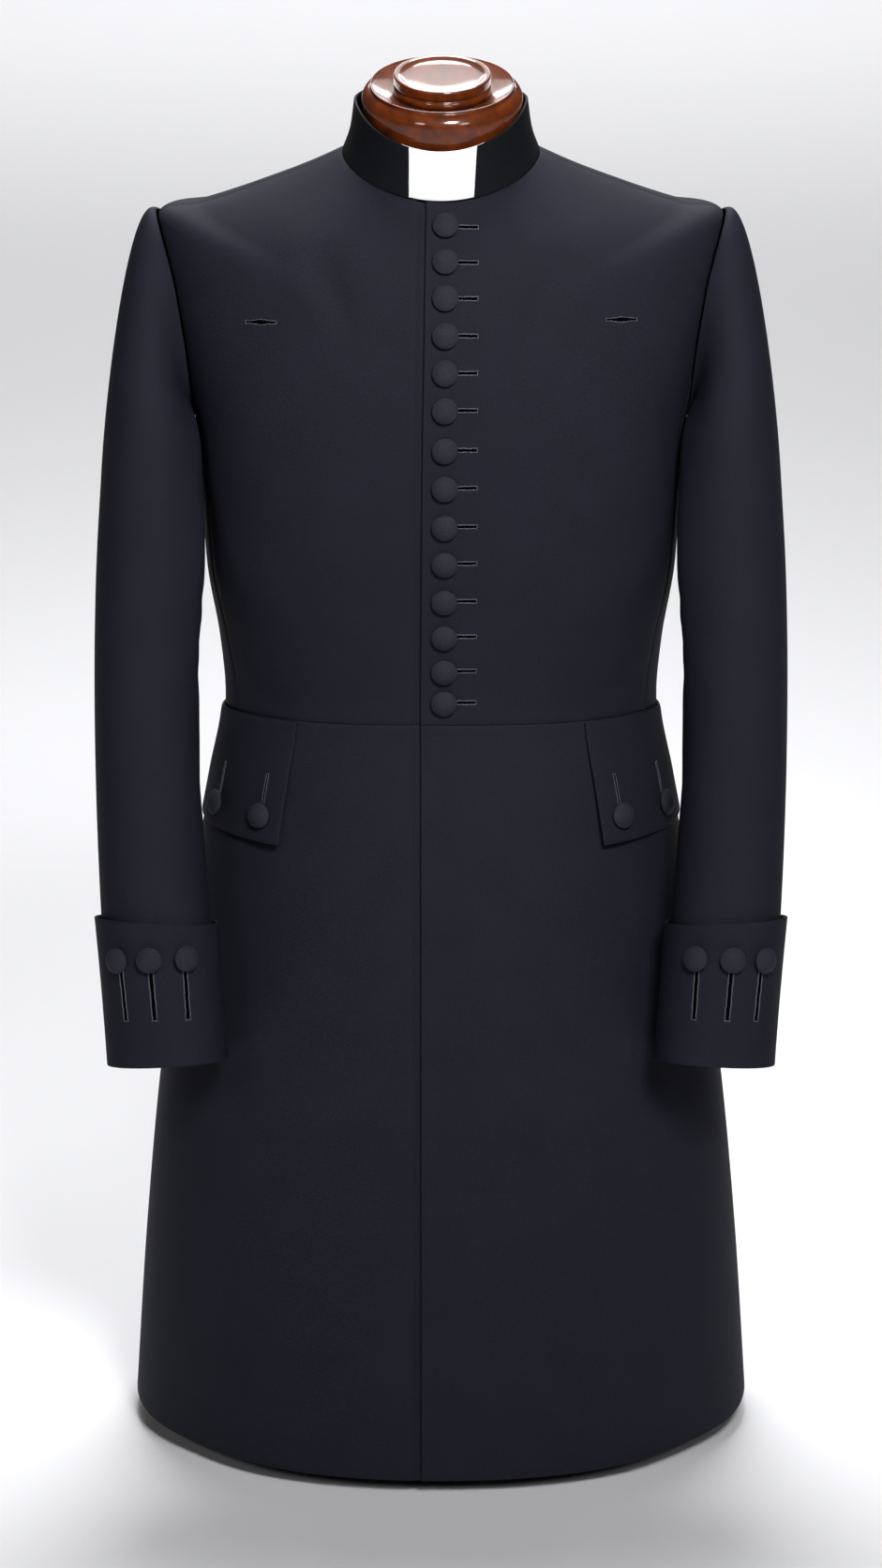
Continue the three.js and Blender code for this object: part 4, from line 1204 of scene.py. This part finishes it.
rightward = (1, 0, 0)
patches = [patch(body_place, azimuth, t, rightward) for azimuth, t in front_buttons]
buttonholes("front_buttonholes", "front", patches)
patches = []
for row in CHEST_SLITS:
    t = ring_at_height(azimuth_at_x(body_point, row["x"], np.array(CHEST_SLIT_RING)), row["z"])
    azimuth = azimuth_at_x(body_point, row["x"], t)
    patches.append(patch(body_place, azimuth, t, rightward))
buttonholes("chest_slits", "chest", patches)
patches = [patch(flap_place, azimuth, t, (0, 0, 1)) for azimuth, t in flap_buttons]
buttonholes("hip_buttonholes", "hip", patches)
patches = []
for sign, angle, s in cuff_buttons:
    down_cuff = (sign * CUFF_HOLE_RUN[0], *CUFF_HOLE_RUN[1:])
    patches.append(patch(partial(cuff_place, sign), angle, s, down_cuff))
buttonholes("cuff_buttonholes", "cuff", patches)

# ------------------------------ studio
# A plain pale floor of matt paint. A gridded soft box hangs in front, with a smaller one at each
# side of it, and others hang above and behind for the cap, the shoulders and the far floor.

# Matt paint: pale and even, without a reflection.
floor_paint, _ = finish_of("pale_matt_paint", Base_Color=linear("dedee1"), Roughness=0.95)
bm = bmesh.new()
bmesh.ops.create_grid(bm, x_segments=1, y_segments=1, size=40)
mesh_object(bm, "studio_floor", floor_paint)

SOFT_BOXES = table(
    ["name", "x", "y", "z", "aim_y", "aim_z", "size", "spread", "power"],
    ["front", 0.7, -3.1, 3.0, 0, 1.0, 1.0, 50, 13.6],
    ["key", 1.7, -3.0, 2.05, 0, 0.62, 0.8, 180, 15],
    ["fill", -1.7, -3.0, 2.05, 0, 0.62, 0.8, 180, 15],
    ["top", 0.0, 0.9, 3.1, 0, 0.62, 1.2, 180, 84],
    ["shoulders", 0.0, 2.6, 3.1, 0, 0.62, 2.6, 180, 30],
    ["behind", 0.0, 4.2, 2.2, 0, 0.62, 1.6, 180, 6],
    ["far floor", 0.0, 8.6, 4.5, 8.6, 0, 7, 180, 420],
)
for row in SOFT_BOXES:
    lamp = bpy.data.lights.new(row["name"], "AREA")
    lamp.shape = "DISK"
    lamp.size = row["size"]
    lamp.spread = math.radians(row["spread"])
    lamp.energy = row["power"]
    box = bpy.data.objects.new(row["name"], lamp)
    box.location = (row["x"], row["y"], row["z"])
    lit = Vector((0, row["aim_y"], row["aim_z"]))
    box.rotation_euler = (lit - box.location).to_track_quat("-Z", "Y").to_euler()
    box.visible_camera = False
    bpy.context.scene.collection.objects.link(box)

world = bpy.data.worlds.new("studio_air")
world.use_nodes = True
world.node_tree.nodes["Background"].inputs["Color"].default_value = linear("f6f7fa")
world.node_tree.nodes["Background"].inputs["Strength"].default_value = 0.025
bpy.context.scene.world = world
bpy.context.scene.view_settings.view_transform = "Standard"

# A long lens at head height, aimed a little down.
CAMERA_DOWN = 16.31  # degrees
camera_data = bpy.data.cameras.new("camera")
camera_data.lens = 134
camera_data.sensor_width = 36
camera = bpy.data.objects.new("camera", camera_data)
camera.location = (0, -4.6, 1.889)
camera.rotation_euler = (math.radians(90 - CAMERA_DOWN), 0, 0)
bpy.context.scene.collection.objects.link(camera)
bpy.context.scene.camera = camera
